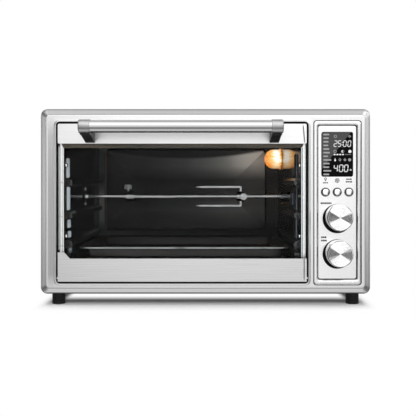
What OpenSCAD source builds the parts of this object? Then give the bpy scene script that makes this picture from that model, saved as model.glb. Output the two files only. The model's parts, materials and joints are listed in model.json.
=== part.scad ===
// Countertop air fryer toaster oven with a drop-down glass door, a rotisserie spit and a control column.
// X runs to the right, the front faces -Y and Z points up. The middle of the footprint is the origin.

/* [Casing] */
// Width of the front frame, the widest part
body_w = 480; // [432:1:528]
// Height of the front frame without the feet
body_h = 269; // [243:1:296]
// Depth from the front frame to the rear cover
body_d = 338; // [310:1:380]
// Thickness of the casing and chamber sheets
sheet = 1.2; // [1:0.1:1.4]
// Width of the bevel round the front frame
rim_bevel = 10; // [6:0.5:12]
// Depth of that bevel
rim_bevel_depth = 5; // [3:0.5:7]
// Corner radius of the front frame
rim_corner = 10; // [8:0.5:14]
// How far the frame folds back over the casing
rim_return = 24; // [22:1:34]
// Length of the two spacers behind the rear cover
spacer_d = 10; // [6:1:20]

/* [Feet] */
// Clear height under the front frame
foot_clear = 15.2; // [8:0.1:20]
// Diameter of a foot
foot_dia = 19; // [14:0.5:24]
// Distance of the feet from the left and right edges of the frame
foot_in = 24.6; // [20:0.1:60]

/* [Door] */
// Gap all round the door
door_gap = 2.4; // [2.2:0.1:2.6]
// How far the door stands in front of the frame
door_proud = 1; // [0.5:0.1:1.5]
// Width of the frame left of the door opening
side_band = 24; // [23:0.5:26]
// Width of the control column, from the door opening to the right edge of the frame
column_w = 91.2; // [90:0.1:96]
// Height of the frame below the door opening
bottom_band = 16.2; // [15.5:0.1:18]
// Height of the frame above the door opening
top_band = 19.6; // [18:0.1:24]
// Height of the upper door rail
top_rail_h = 28.7; // [26:0.1:32]
// Height of the lower door rail
bottom_rail_h = 33.4; // [32:0.1:36]
// Depth of the folded door rails
rail_d = 10; // [9.6:0.1:10.4]
// Thickness of the door glass
glass_t = 4; // [3.5:0.1:4.2]
// Height of the ear at the left end of the lower rail
ear_h = 9; // [5:0.5:12]
// Width of that ear
ear_w = 9.2; // [6:0.2:14]

/* [Hinge] */
// Height of the hinge axis over the bottom edge of the door
hinge_up = 4.5; // [4.3:0.1:4.8]
// Depth of the hinge axis behind the front of the door
hinge_in = 4.4; // [4.2:0.1:4.5]
// Diameter of the hinge pins
pin_dia = 3; // [2.4:0.1:3.2]
// Radial clearance of shafts and pins that turn
run_gap = 0.05; // [0.03:0.01:0.08]

/* [Handle] */
// Length of the handle over its ferrules
handle_len = 282; // [240:1:310]
// Diameter of the handle tube
handle_dia = 18; // [16:0.5:20]
// Distance from the door to the middle of the tube
handle_out = 42; // [38:1:60]
// Distance of the tube's middle below the top of the door
handle_down = 7.2; // [4:0.2:10]
// Length of a ferrule
ferrule_len = 16; // [14:0.5:20]
// Width of a handle arm
arm_w = 13.5; // [10:0.5:14]

/* [Chamber] */
// How far the door reaches past the chamber at each side
door_lap = 6; // [5:0.5:7]
// Height of the chamber floor over the bottom edge of the door
floor_up = 10.2; // [9.8:0.1:11]
// Depth of the chamber ceiling below the top edge of the door
ceiling_down = 7.2; // [6:0.2:9]
// Distance from the chamber back wall to the rear cover
back_gap = 24; // [20:1:30]
// Distance from the front frame to the mouth ring
ring_setback = 13; // [12.8:0.1:14]
// Height of the mouth ring below the ceiling
lip_h = 27; // [22:0.5:30]
// Distance of the pressed panel in the back wall from the side walls
emboss_side = 21.5; // [14:0.5:40]
// Distance of that panel from the floor
emboss_low = 41.5; // [20:0.5:50]
// Distance of that panel from the ceiling
emboss_high = 16.5; // [8:0.5:30]
// Depth of that panel
emboss_d = 8; // [4:0.5:12]
// Heights of the three rack ribs over the chamber floor
rib_up = [40, 83, 133]; // [36:1:140]
// How far a rib stands out from the wall
rib_out = 7; // [5:0.5:8]
// Height of a rib
rib_h = 13; // [10:0.5:14]
// Height of the pan ledge over the chamber floor
ledge_up = 29; // [28:0.5:31]
// How far the pan ledge stands out from the wall
ledge_out = 9; // [8:0.5:10]

/* [Heating] */
// Diameter of a heating rod
element_dia = 6.5; // [5:0.1:7]
// Distance of each rod from the middle of the chamber depth
element_spread = 80; // [60:1:100]
// Height of the lower rods over the floor
element_low = 7.5; // [7:0.1:8]
// Distance of the upper rods below the ceiling
element_high = 8; // [6:0.5:10]

/* [Rotisserie] */
// Height of the spit over the chamber floor
spit_up = 109; // [105:1:112]
// Side of the square spit rod
spit_side = 6; // [5:0.1:7]
// Distance of the left fork from the middle of the chamber
left_fork_at = 95; // [85:1:110]
// Distance of the right fork from the middle of the chamber
right_fork_at = 93; // [85:1:110]
// Length of a fork tine
tine_len = 78; // [60:1:80]
// Distance of the tines from the spit
tine_out = 16; // [13:0.5:20]
// Thickness of a tine
tine_t = 3; // [2.4:0.1:4]

/* [Fan and lamp] */
// Radius of the air grille in the right wall, as a share of the chamber height
grille_share = 0.2133; // [0.17:0.005:0.225]
// Radial gap between the fan wheel and its housing
fan_gap = 6.8; // [5:0.1:12]
// Width of the fan wheel
fan_w = 18; // [12:1:22]
// Distance of the fan axis in front of the chamber back wall
fan_back = 53; // [52:1:58]
// Height of the fan axis over the chamber floor, as a share of the chamber height
fan_share = 0.4692; // [0.45:0.005:0.48]
// Distance of the lamp in front of the chamber back wall
lamp_back = 44; // [40:1:50]
// Distance of the lamp below the chamber ceiling
lamp_down = 35; // [33:0.5:37]
// Radius of the lamp glass
lamp_r = 17.4; // [15:0.2:18]
// Length of the lamp glass
lamp_len = 31; // [26:1:40]

/* [Pan and tray] */
// Gap between the baking pan's rim and a side wall
pan_side = 5; // [3:0.1:6]
// Distance of the pan's rear edge from the back wall
pan_rear = 23.8; // [16:0.1:50]
// Depth of the baking pan
pan_h = 17; // [13:0.5:17.5]
// Distance of the pan's front edge behind the mouth ring
pan_back = 61; // [52:1:66]
// Thickness of the pan and tray sheet
pan_t = 1; // [0.8:0.1:1.2]
// Height of the crumb tray's rim
tray_h = 3; // [2:0.2:3.4]

/* [Controls] */
// Width of the panel surround
surround_w = 69; // [63:0.5:74]
// Height of the frame below the surround
surround_low = 13.5; // [13:0.1:24]
// Height of the frame above the surround
surround_high = 17.5; // [13:0.1:28]
// Width of the surround's rim beside the panel
rim_side = 7; // [6.4:0.1:8]
// Height of the surround's rim above and below the panel
rim_end = 8; // [6.4:0.1:10]
// Depth of the control panel behind the front frame
panel_in = 2.5; // [1.5:0.1:3]
// Width of the display
display_w = 46; // [40:0.5:47]
// Height of the display
display_h = 65; // [60:0.5:66]
// Distance of the display below the top of the panel
display_down = 9; // [6:0.5:12]
// Distance of the buttons below the top of the panel, as a share of its height
button_share = 0.4342; // [0.425:0.001:0.44]
// Distance between two buttons
button_pitch = 17; // [16:0.2:17.4]
// Diameter of a button
button_dia = 12.4; // [11:0.1:13]
// Travel of a button
button_travel = 1.5; // [1:0.1:1.6]
// Distances of the two knobs below the top of the panel, as shares of its height
knob_share = [0.597, 0.829]; // [0.59:0.001:0.85]
// Diameter of a knob over its skirt
knob_dia = 42; // [38:0.5:46]
// How far a knob stands out from the panel
knob_out = 24; // [18:0.5:28]

/* [Hidden] */
$fn = 48;
// Clearances: a fixed fit, a sliding fit and the least room of anything that swings
fit = 0.2;
slide = 0.3;
reach_past = 1;

// Casing planes
face_y = (handle_out + door_proud + handle_dia / 2 - body_d - spacer_d) / 2;
rear_y = face_y + body_d;
frame_z0 = foot_clear;
frame_z1 = foot_clear + body_h;
wrap_x = body_w / 2 - sheet - fit;
wrap_in = wrap_x - sheet;
wrap_z1 = frame_z1 - sheet - fit;
wrap_in_z1 = wrap_z1 - sheet;
base_z0 = frame_z0 + sheet + fit;
base_z1 = base_z0 + sheet;
wrap_tuck = 10;
wrap_y0 = face_y + rim_return - wrap_tuck;
cover_y0 = rear_y - sheet;
base_y0 = face_y + rim_return + fit;
flange_h = 12;

// Door opening, door and its layers
open_x0 = -body_w / 2 + side_band;
open_x1 = body_w / 2 - column_w;
open_z0 = frame_z0 + bottom_band;
open_z1 = frame_z1 - top_band;
open_r = 5;
door_x0 = open_x0 + door_gap;
door_x1 = open_x1 - door_gap;
door_mid = (door_x0 + door_x1) / 2;
door_z0 = open_z0 + door_gap;
door_z1 = open_z1 - door_gap;
door_y0 = face_y - door_proud;
door_y1 = door_y0 + rail_d;
glass_y0 = door_y0 + sheet;
glass_y1 = glass_y0 + glass_t;
keeper_y1 = glass_y1 + sheet;
glass_lap = 10;
glass_z0 = door_z0 + bottom_rail_h - glass_lap;
glass_z1 = door_z1 - sheet - fit;
ear_slope = 8.4;

// Hinge
hinge_y = door_y0 + hinge_in;
hinge_z = door_z0 + hinge_up;
pin_r = pin_dia / 2;
block_w = 10;
block_h = 16;
block_d = hinge_in + pin_r + 1.6 - sheet;
spring_len = 18;
spring_turns = 9;
spring_wire = 0.45;
spring_r = pin_r + 0.95;
pin_in = block_w + spring_len + 4;
bracket_w = 6;
bracket_h = 18;

// Handle
bar_y = door_y0 - handle_out;
bar_z = door_z1 - handle_down;
bar_r = handle_dia / 2;
tube_wall = 1.2;
ferrule_r = bar_r + 1;
ferrule_end = 5;
ferrule_round = 2;
bar_x0 = door_mid - handle_len / 2;
bar_x1 = door_mid + handle_len / 2;
arm_x = handle_len / 2 - ferrule_len / 2;
arm_z0 = door_z1 - top_rail_h + 1;
arm_h = 15;
arm_z1 = arm_z0 + arm_h;
arm_wall = 1.4;
arm_round = 2;
screw_z = (arm_z0 + arm_z1) / 2;
screw_r = 2;
screw_head_r = 3.6;
screw_head_h = 2;
screw_bite = 12;

// Chamber
ring_y0 = face_y + ring_setback;
ring_y1 = ring_y0 + sheet;
cav_x0 = door_x0 + door_lap;
cav_x1 = door_x1 - door_lap;
cav_mid = (cav_x0 + cav_x1) / 2;
cav_z0 = door_z0 + floor_up;
cav_z1 = door_z1 - ceiling_down;
cav_y1 = rear_y - back_gap;
cav_mid_y = (ring_y1 + cav_y1) / 2;
cav_h = cav_z1 - cav_z0;
ring_x1 = open_x1 + sheet + bracket_w + 1;
lip_z = cav_z1 - lip_h;
rib_z = [for (up = rib_up) cav_z0 + up];
ledge_z = cav_z0 + ledge_up;
ledge_t = 4;
rib_y0 = ring_y1 + 6;
rib_y1 = cav_y1 - 8;
emboss_x0 = cav_x0 + emboss_side;
emboss_x1 = cav_x1 - emboss_side;
emboss_z0 = cav_z0 + emboss_low;
emboss_z1 = cav_z1 - emboss_high;
rib_inset = 16;

// Heating rods
element_r = element_dia / 2;
element_y = [cav_mid_y - element_spread, cav_mid_y + element_spread];
element_z0 = cav_z0 + element_low;
element_z1 = cav_z1 - element_high;
element_tail = 12;
insulator_r = element_r + 1.8;
insulator_flange_r = element_r + 3.2;
insulator_flange_t = 2;
insulator_len = 6;

// Rotisserie
spit_y = cav_mid_y;
spit_z = cav_z0 + spit_up;
journal_r = spit_side / 2;
support_t = 2;
support_boss_r = 7;
support_boss = 6;
support_screw_dz = 13;
support_edge = 3.8;
spit_x0 = cav_x0 + support_t + 1;
spit_sq_x0 = cav_x0 + support_t + support_boss + slide;
collar_r = 5.5;
collar_t = 4;
socket_r = 8;
socket_len = 14;
socket_shaft_r = 4;
socket_shaft_len = 14;
spit_x1 = cav_x1 - 4;
motor_side = 46;
motor_d = 24;
hub_r = 9;
hub_len = 13;
thumb_r = 2;
thumb_head_r = 6;
thumb_head = 8;
thumb_tip = spit_side / 2 + slide;
thumb_stand = 3;
thumb_off = 4;
knurl_r = 0.8;
left_fork_turn = 90;
right_fork_turn = 180;

// Fan and lamp
fan_y = cav_y1 - fan_back;
fan_z = cav_z0 + fan_share * cav_h;
grille_r = grille_share * cav_h;
housing_r = grille_r + 5;
fan_room = 12;
housing_d = fan_w + fan_room;
housing_x = cav_x1 + sheet;
fan_r = housing_r - sheet - fan_gap;
fan_x0 = housing_x + 4;
fan_shaft_r = 2.5;
fan_motor_r = 24;
fan_motor_d = 32;
fan_shaft_len = 16;
fan_hub_r = 9;
fan_blades = 10;
grille_hole_r = 2.3;
grille_rings = 4;
lamp_y = cav_y1 - lamp_back;
lamp_z = cav_z1 - lamp_down;
lamp_flange_r = lamp_r + 2.3;
lamp_wall = 2;
lamp_hole_r = lamp_r - lamp_wall - 3;
bulb_r = 7;
holder_r = 17;
holder_d = 34;
bulb_seat = 6;
bulb_neck = bulb_r - 2;
probe_r = 1.6;
probe_y = (spit_y + motor_side / 2 + fan_y - housing_r) / 2;
probe_z = spit_z - 8;
probe_len = 38;
probe_collar_r = 2.6;
probe_collar = 8;

// Pan and tray
pan_x0 = cav_x0 + pan_side;
pan_x1 = cav_x1 - pan_side;
pan_y0 = ring_y1 + pan_back;
pan_y1 = cav_y1 - pan_rear;
pan_z0 = ledge_z + slide;
pan_flange = 11;
pan_slope = 4;
pan_corner = 14;
tray_x0 = cav_x0 + 4;
tray_x1 = cav_x1 - 4;
tray_y0 = ring_y0 + 6;
tray_y1 = cav_y1 - 4;
tray_z0 = cav_z0 + slide;

// Controls
panel_mid = (open_x1 + body_w / 2 - rim_bevel + 1) / 2 + 1.3;
surround_x0 = panel_mid - surround_w / 2;
surround_x1 = panel_mid + surround_w / 2;
surround_z0 = frame_z0 + surround_low;
surround_z1 = frame_z1 - surround_high;
surround_lip = 0.8;
surround_seat = 4;
surround_ledge = 2;
surround_slope = 2.4;
surround_back = 3;
panel_x0 = surround_x0 + rim_side;
panel_x1 = surround_x1 - rim_side;
panel_w = panel_x1 - panel_x0;
panel_z0 = surround_z0 + rim_end + 1;
panel_z1 = surround_z1 - rim_end + 1;
panel_h = panel_z1 - panel_z0;
panel_t = 1.5;
panel_y0 = face_y + panel_in;
panel_y1 = panel_y0 + panel_t;
panel_r = 3;
display_x0 = panel_mid - display_w / 2;
display_x1 = panel_mid + display_w / 2;
display_z1 = panel_z1 - display_down;
display_z0 = display_z1 - display_h;
display_t = 2.2;
display_proud = 0.3;
button_z = panel_z1 - button_share * panel_h;
button_x = [panel_mid - button_pitch, panel_mid, panel_mid + button_pitch];
button_r = button_dia / 2;
button_out = 2;
button_flange = 1.4;
button_stem_r = 2.5;
encoder_d = 15;
board_y0 = panel_y1 + surround_back + encoder_d;
board_t = 1.6;
board_w = panel_w - 6;
board_edge = 8;
supply_w = 32;
supply_d = 15;
supply_h = 40;
post_in = 14;
switch_side = 6;
switch_h = 4;
knob_z = [for (share = knob_share) panel_z1 - share * panel_h];
knob_r = knob_dia / 2;
knob_gap = 0.8;
knob_bore = 13;
encoder_side = 13;
encoder_bush_r = 4.5;
encoder_shaft_r = 3;
post_r = 2.5;

// Rear and fasteners
spacer_r = 11;
spacer_x = 150;
spacer_stud = 3;
spacer_z = base_z0 + body_h / 2;
inlet_r = 4;
bushing_r = 9;
bushing_head_r = 12;
bushing_head = 4;
inlet_in = 55;
inlet_x = body_w / 2 - inlet_in;
inlet_z = frame_z0 + inlet_in;
slot_w = 3.4;
slot_h = 26;
slot_pitch = 9;
vent_down = 60;
vent_step = 40;
vent_z = [wrap_z1 - vent_down, wrap_z1 - vent_down - vent_step];
vent_in = 80;
vent_y = rear_y - vent_in;
side_vents = 12;
rear_vents = 24;
column_vents = 7;
base_vent_step = 120;
base_vent_x = [-base_vent_step, 0, base_vent_step];
base_vent_y = rear_y - vent_in;
foot_x = body_w / 2 - foot_in;
foot_front = rim_bevel_depth + foot_dia / 2;
foot_rear = 76;
foot_front_y = face_y + foot_front;
foot_rear_y = rear_y - foot_rear;
flutes = 18;
flute_r = 0.7;
flute_rim = 3;
case_screw_r = 1.6;
case_screw_head_r = 3.6;
case_screw_head = 2;
case_screw_bite = 5;
side_screw_in = 40;
side_screw_y = [wrap_y0 + side_screw_in, cover_y0 - side_screw_in];
side_screw_z = base_z1 + flange_h / 2;
chamber_screw_up = [15, 53, 159];
chamber_screw_back = 14;
chamber_screw_head = 1.6;
chamber_screw_bite = 4;
rear_screw_in = 15;
rear_screw_x = body_w / 2 - rear_screw_in;
rear_screw_z = [base_z0 + rear_screw_in, frame_z0 + body_h / 2, wrap_z1 - rear_screw_in];

// Points of an arc round a centre, from one angle to another
function arc(cx, cy, r, a0, a1, steps = 6) =
    [for (i = [0:steps]) let (a = a0 + (a1 - a0) * i / steps) [cx + r * cos(a), cy + r * sin(a)]];

// Outline of a rectangle with round corners
function round_rect(x0, x1, z0, z1, r) = concat(
    arc(x1 - r, z0 + r, r, -90, 0),
    arc(x1 - r, z1 - r, r, 0, 90),
    arc(x0 + r, z1 - r, r, 90, 180),
    arc(x0 + r, z0 + r, r, 180, 270)
);

module block(x0, x1, y0, y1, z0, z1) {
    translate([x0, y0, z0]) cube([x1 - x0, y1 - y0, z1 - z0]);
}

// Extrusions of an outline along Y (drawn in X and Z), X (drawn in Y and Z) and Z
module slab_y(y0, y1) {
    translate([0, y1, 0]) rotate([90, 0, 0]) linear_extrude(y1 - y0) children();
}

module slab_x(x0, x1) {
    translate([x0, 0, 0]) rotate([90, 0, 90]) linear_extrude(x1 - x0) children();
}

module slab_z(z0, z1) {
    translate([0, 0, z0]) linear_extrude(z1 - z0) children();
}

module rod_x(x0, x1, y, z, r) {
    translate([x0, y, z]) rotate([0, 90, 0]) cylinder(h = x1 - x0, r = r);
}

module rod_y(y0, y1, x, z, r) {
    translate([x, y0, z]) rotate([-90, 0, 0]) cylinder(h = y1 - y0, r = r);
}

module rod_z(z0, z1, x, y, r) {
    translate([x, y, z0]) cylinder(h = z1 - z0, r = r);
}

// Box whose front face is smaller than its back by a bevel on all four sides
module bevel_box(x0, x1, z0, z1, y0, y1, bevel, depth, r) {
    intersection() {
        slab_y(y0, y1) polygon(round_rect(x0, x1, z0, z1, r));
        slab_z(z0, z1) polygon([
            [x0, y1], [x0, y0 + depth], [x0 + bevel, y0], [x1 - bevel, y0], [x1, y0 + depth], [x1, y1]
        ]);
        slab_x(x0, x1) polygon([
            [y1, z0], [y0 + depth, z0], [y0, z0 + bevel], [y0, z1 - bevel], [y0 + depth, z1], [y1, z1]
        ]);
    }
}

// Pit with four sloping sides, open at the top
module tapered_pit(x0, x1, y0, y1, z0, z1, slope) {
    intersection() {
        slab_y(y0, y1) polygon([[x0 + slope, z0], [x1 - slope, z0], [x1, z1], [x0, z1]]);
        slab_x(x0, x1) polygon([[y0 + slope, z0], [y1 - slope, z0], [y1, z1], [y0, z1]]);
    }
}

// Opening that narrows towards +Y on all four sides
module funnel(x0, x1, z0, z1, y0, y1, spread) {
    intersection() {
        slab_z(z0 - spread, z1 + spread)
            polygon([[x0 - spread, y0], [x1 + spread, y0], [x1, y1], [x0, y1]]);
        slab_x(x0 - spread, x1 + spread)
            polygon([[y0, z0 - spread], [y0, z1 + spread], [y1, z1], [y1, z0]]);
    }
}

// Row of upright slots along X, cut through along Y
module slot_row_y(x_mid, count, z0, y0, y1) {
    for (i = [0:count - 1]) {
        x = x_mid + (i - (count - 1) / 2) * slot_pitch;
        block(x - slot_w / 2, x + slot_w / 2, y0, y1, z0, z0 + slot_h);
    }
}

// Row of upright slots along Y, cut through along X
module slot_row_x(y_mid, count, z0, x0, x1) {
    for (i = [0:count - 1]) {
        y = y_mid + (i - (count - 1) / 2) * slot_pitch;
        block(x0, x1, y - slot_w / 2, y + slot_w / 2, z0, z0 + slot_h);
    }
}

module front_frame() {
    color("silver") difference() {
        union() {
            difference() {
                bevel_box(
                    -body_w / 2, body_w / 2, frame_z0, frame_z1, face_y, face_y + rim_return,
                    rim_bevel, rim_bevel_depth, rim_corner
                );
                bevel_box(
                    -body_w / 2 + sheet, body_w / 2 - sheet, frame_z0 + sheet, frame_z1 - sheet,
                    face_y + sheet, face_y + rim_return + reach_past, rim_bevel, rim_bevel_depth,
                    rim_corner - sheet
                );
            }
            slab_y(face_y + sheet / 2, ring_y0) polygon(
                round_rect(open_x0 - sheet, open_x1 + sheet, open_z0 - sheet, open_z1 + sheet, open_r + sheet)
            );
        }
        slab_y(face_y - reach_past, ring_y0 + reach_past)
            polygon(round_rect(open_x0, open_x1, open_z0, open_z1, open_r));
        slab_y(face_y - reach_past, face_y + rim_bevel_depth) polygon(round_rect(
            surround_x0 + surround_seat, surround_x1 - surround_seat,
            surround_z0 + surround_seat, surround_z1 - surround_seat, panel_r
        ));
        rod_x(open_x0 - sheet - reach_past, open_x1 + sheet + reach_past, hinge_y, hinge_z, pin_r + slide);
    }
}

module outer_wrap() {
    color("silver") difference() {
        slab_y(wrap_y0, cover_y0) difference() {
            wrap_outline(wrap_x, base_z0, wrap_z1, rim_corner - sheet - fit);
            wrap_outline(wrap_in, base_z0 - reach_past, wrap_in_z1, rim_corner - 2 * sheet - fit);
        }
        block(
            -wrap_x - reach_past, wrap_x + reach_past, wrap_y0 - reach_past, base_y0, base_z0 - reach_past,
            frame_z0 + rim_corner
        );
        for (z = vent_z) {
            slot_row_x(vent_y, side_vents, z, wrap_in - reach_past, wrap_x + reach_past);
            slot_row_x(vent_y, side_vents, z, -wrap_x - reach_past, -wrap_in + reach_past);
        }
        for (y = side_screw_y) {
            rod_x(-wrap_x - reach_past, wrap_x + reach_past, y, side_screw_z, case_screw_r + fit);
        }
    }
}

// Outline of the casing with round upper corners
module wrap_outline(half_w, z0, z1, r) {
    polygon(concat(
        [[-half_w, z0], [half_w, z0]], arc(half_w - r, z1 - r, r, 0, 90), arc(r - half_w, z1 - r, r, 90, 180)
    ));
}

module base_plate() {
    color("dimgray") difference() {
        union() {
            block(-wrap_in + fit, wrap_in - fit, base_y0, cover_y0, base_z0, base_z1);
            for (side = [-1, 1]) {
                x = side * (wrap_in - fit - sheet / 2);
                block(x - sheet / 2, x + sheet / 2, base_y0, cover_y0, base_z0, base_z1 + flange_h);
            }
        }
        for (y = side_screw_y) {
            rod_x(-wrap_x, wrap_x, y, side_screw_z, case_screw_r + fit);
        }
        for (x = base_vent_x) {
            for (i = [-3:3]) {
                y = base_vent_y + i * slot_pitch;
                block(
                    x - slot_h, x + slot_h, y - slot_w / 2, y + slot_w / 2, base_z0 - reach_past,
                    base_z1 + reach_past
                );
            }
        }
    }
}

module rear_cover() {
    color("dimgray") difference() {
        slab_y(cover_y0, rear_y) wrap_outline(wrap_x, base_z0, wrap_z1, rim_corner - sheet - fit);
        for (z = vent_z) {
            slot_row_y(cav_mid, rear_vents, z, cover_y0 - reach_past, rear_y + reach_past);
        }
        slot_row_y(panel_mid, column_vents, vent_z[1], cover_y0 - reach_past, rear_y + reach_past);
        rod_y(cover_y0 - reach_past, rear_y + reach_past, inlet_x, inlet_z, bushing_r + fit);
        for (x = [-rear_screw_x, rear_screw_x]) {
            for (z = rear_screw_z) {
                rod_y(cover_y0 - reach_past, rear_y + reach_past, x, z, case_screw_r + fit);
            }
        }
        for (x = [-spacer_x, spacer_x]) {
            rod_y(cover_y0 - reach_past, rear_y + reach_past, x, spacer_z, case_screw_r + fit);
        }
    }
}

module cord_bushing() {
    color("black") difference() {
        union() {
            rod_y(rear_y, rear_y + bushing_head, inlet_x, inlet_z, bushing_head_r);
            rod_y(cover_y0 - bushing_head, rear_y + bushing_head / 2, inlet_x, inlet_z, bushing_r);
        }
        rod_y(
            cover_y0 - bushing_head - reach_past, rear_y + bushing_head + reach_past, inlet_x, inlet_z,
            inlet_r
        );
    }
}

module rear_spacers() {
    color("black") for (x = [-spacer_x, spacer_x]) {
        rod_y(rear_y, rear_y + spacer_d, x, spacer_z, spacer_r);
        rod_y(cover_y0 - spacer_stud, rear_y + spacer_d / 2, x, spacer_z, case_screw_r);
    }
}

// Fluted foot under the sheet whose lower face lies at z1
module foot(x, y, z1) {
    difference() {
        rod_z(0, z1, x, y, foot_dia / 2);
        for (i = [1:flutes]) {
            translate([x, y, flute_rim]) rotate([0, 0, i * 360 / flutes])
                translate([foot_dia / 2, 0, 0]) cylinder(h = z1 - 2 * flute_rim, r = flute_r);
        }
    }
}

// The front feet stand under the frame's fold, the rear feet under the base plate
module feet() {
    color("black") for (x = [-foot_x, foot_x]) {
        foot(x, foot_front_y, frame_z0);
        foot(x, foot_rear_y, base_z0);
    }
}

// Screw along Y whose head rests on the plane at y
module casing_screw_y(x, y, z) {
    rod_y(y, y + case_screw_head, x, z, case_screw_head_r);
    rod_y(y - case_screw_bite, y + case_screw_head / 2, x, z, case_screw_r);
}

module casing_screws() {
    color("gray") {
        for (x = [-rear_screw_x, rear_screw_x]) {
            for (z = rear_screw_z) casing_screw_y(x, rear_y, z);
        }
        for (side = [-1, 1]) {
            for (y = side_screw_y) {
                mirror([side < 0 ? 1 : 0, 0, 0]) {
                    rod_x(wrap_x, body_w / 2, y, side_screw_z, case_screw_head_r);
                    rod_x(wrap_x - case_screw_bite, wrap_x + sheet / 2, y, side_screw_z, case_screw_r);
                }
            }
        }
    }
}

module mouth_ring() {
    color("silver") slab_y(ring_y0, ring_y1) difference() {
        translate([-wrap_in + fit, base_z1])
            square([ring_x1 + wrap_in - fit, wrap_in_z1 - fit - base_z1]);
        translate([cav_x0, cav_z0]) square([cav_x1 - cav_x0, lip_z - cav_z0]);
        translate([-wrap_in, wrap_in_z1 - rim_corner]) square(rim_corner);
        translate([-wrap_in - sheet, base_z1]) square([4 * sheet, flange_h + fit]);
    }
}

// Plate of a chamber side wall, between floor and ceiling
module side_wall(x0, x1) {
    block(x0, x1, ring_y1, cav_y1, cav_z0, cav_z1);
}

module element_holes(r, x0, x1) {
    for (y = element_y) {
        for (z = [element_z0, element_z1]) rod_x(x0, x1, y, z, r);
    }
}

module chamber_left_wall() {
    x0 = cav_x0 - sheet;
    color("dimgray") difference() {
        side_wall(x0, cav_x0);
        element_holes(insulator_r + fit, x0 - reach_past, cav_x0 + reach_past);
        for (dz = [-support_screw_dz, support_screw_dz]) {
            rod_x(x0 - reach_past, cav_x0 + reach_past, spit_y, spit_z + dz, case_screw_r + fit);
        }
        for (at = chamber_screw_points()) {
            rod_x(x0 - reach_past, cav_x0 + reach_past, at[0], at[1], case_screw_r + fit);
        }
    }
}

module chamber_right_wall() {
    x1 = cav_x1 + sheet;
    color("dimgray") difference() {
        side_wall(cav_x1, x1);
        element_holes(insulator_r + fit, cav_x1 - reach_past, x1 + reach_past);
        rod_x(cav_x1 - reach_past, x1 + reach_past, spit_y, spit_z, socket_shaft_r + 1);
        rod_x(cav_x1 - reach_past, x1 + reach_past, lamp_y, lamp_z, lamp_hole_r);
        rod_x(cav_x1 - reach_past, x1 + reach_past, probe_y, probe_z, probe_r + fit);
        rod_x(cav_x1 - reach_past, x1 + reach_past, fan_y, fan_z, grille_hole_r);
        for (ring = [1:grille_rings]) {
            count = 6 * ring;
            for (i = [0:count - 1]) {
                a = 360 * i / count;
                d = (grille_r - grille_hole_r) * ring / grille_rings;
                rod_x(
                    cav_x1 - reach_past, x1 + reach_past, fan_y + d * cos(a), fan_z + d * sin(a),
                    grille_hole_r
                );
            }
        }
        for (at = chamber_screw_points()) {
            rod_x(cav_x1 - reach_past, x1 + reach_past, at[0], at[1], case_screw_r + fit);
        }
    }
}

// Screws of the side walls, in Y and Z, near the chamber mouth
function chamber_screw_points() = [for (up = chamber_screw_up) [ring_y1 + chamber_screw_back, cav_z0 + up]];

module chamber_ceiling() {
    color("dimgray")
        block(cav_x0 - sheet, cav_x1 + sheet, ring_y1, cav_y1, cav_z1, cav_z1 + sheet);
}

module chamber_floor() {
    color("dimgray")
        block(cav_x0 - sheet, cav_x1 + sheet, ring_y1, cav_y1, cav_z0 - sheet, cav_z0);
}

// Hipped roof shape that rises towards +Y from the back wall, on a foot of its own outline
module hipped_roof(y0, rise, foot) {
    run = (emboss_z1 - emboss_z0) / 2;
    intersection() {
        slab_z(emboss_z0, emboss_z1) polygon([
            [emboss_x0, y0 - foot], [emboss_x1, y0 - foot], [emboss_x1, y0],
            [emboss_x1 - run, y0 + rise], [emboss_x0 + run, y0 + rise], [emboss_x0, y0]
        ]);
        slab_x(emboss_x0, emboss_x1) polygon([
            [y0 - foot, emboss_z0], [y0, emboss_z0], [y0 + rise, emboss_z0 + run], [y0, emboss_z1],
            [y0 - foot, emboss_z1]
        ]);
    }
}

module chamber_back_wall() {
    color("dimgray") difference() {
        union() {
            block(cav_x0 - sheet, cav_x1 + sheet, cav_y1, cav_y1 + sheet, cav_z0 - sheet, cav_z1 + sheet);
            hipped_roof(cav_y1 + sheet, emboss_d, sheet / 2);
        }
        hipped_roof(cav_y1, emboss_d, reach_past);
    }
}

// Pressed rib with sloping upper and lower faces, drawn out along Y
module rack_rib(wall_x, side, y0, y1, z, out, h) {
    points = [[0, z - h / 2], [out, z - h / 4], [out, z + h / 4], [0, z + h / 2]];
    slab_y(y0, y1) polygon([for (p = points) [wall_x + side * p[0], p[1]]]);
}

// Ledge with a flat top that carries the pan
module pan_ledge(wall_x, side) {
    points = [[0, ledge_z - 2 * ledge_t], [ledge_out, ledge_z - ledge_t], [ledge_out, ledge_z], [0, ledge_z]];
    slab_y(rib_y0, rib_y1) polygon([for (p = points) [wall_x + side * p[0], p[1]]]);
}

module left_rack_ribs() {
    color("dimgray") {
        for (z = rib_z) rack_rib(cav_x0, 1, rib_y0 + rib_inset, rib_y1, z, rib_out, rib_h);
        pan_ledge(cav_x0, 1);
    }
}

module right_rack_ribs() {
    color("dimgray") {
        rack_rib(cav_x1, -1, rib_y0 + rib_inset, rib_y1, rib_z[0], rib_out, rib_h);
        for (z = [rib_z[1], rib_z[2]]) {
            rack_rib(cav_x1, -1, rib_y0 + rib_inset, probe_y - 6, z, rib_out, rib_h);
        }
        pan_ledge(cav_x1, -1);
    }
}

// Pair of straight heating rods that pass through both side walls
module heating_rods(z) {
    for (y = element_y) {
        rod_x(cav_x0 - sheet - element_tail, cav_x1 + sheet + element_tail, y, z, element_r);
    }
}

module upper_elements() {
    color("gray") heating_rods(element_z1);
}

module lower_elements() {
    color("gray") heating_rods(element_z0);
}

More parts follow.
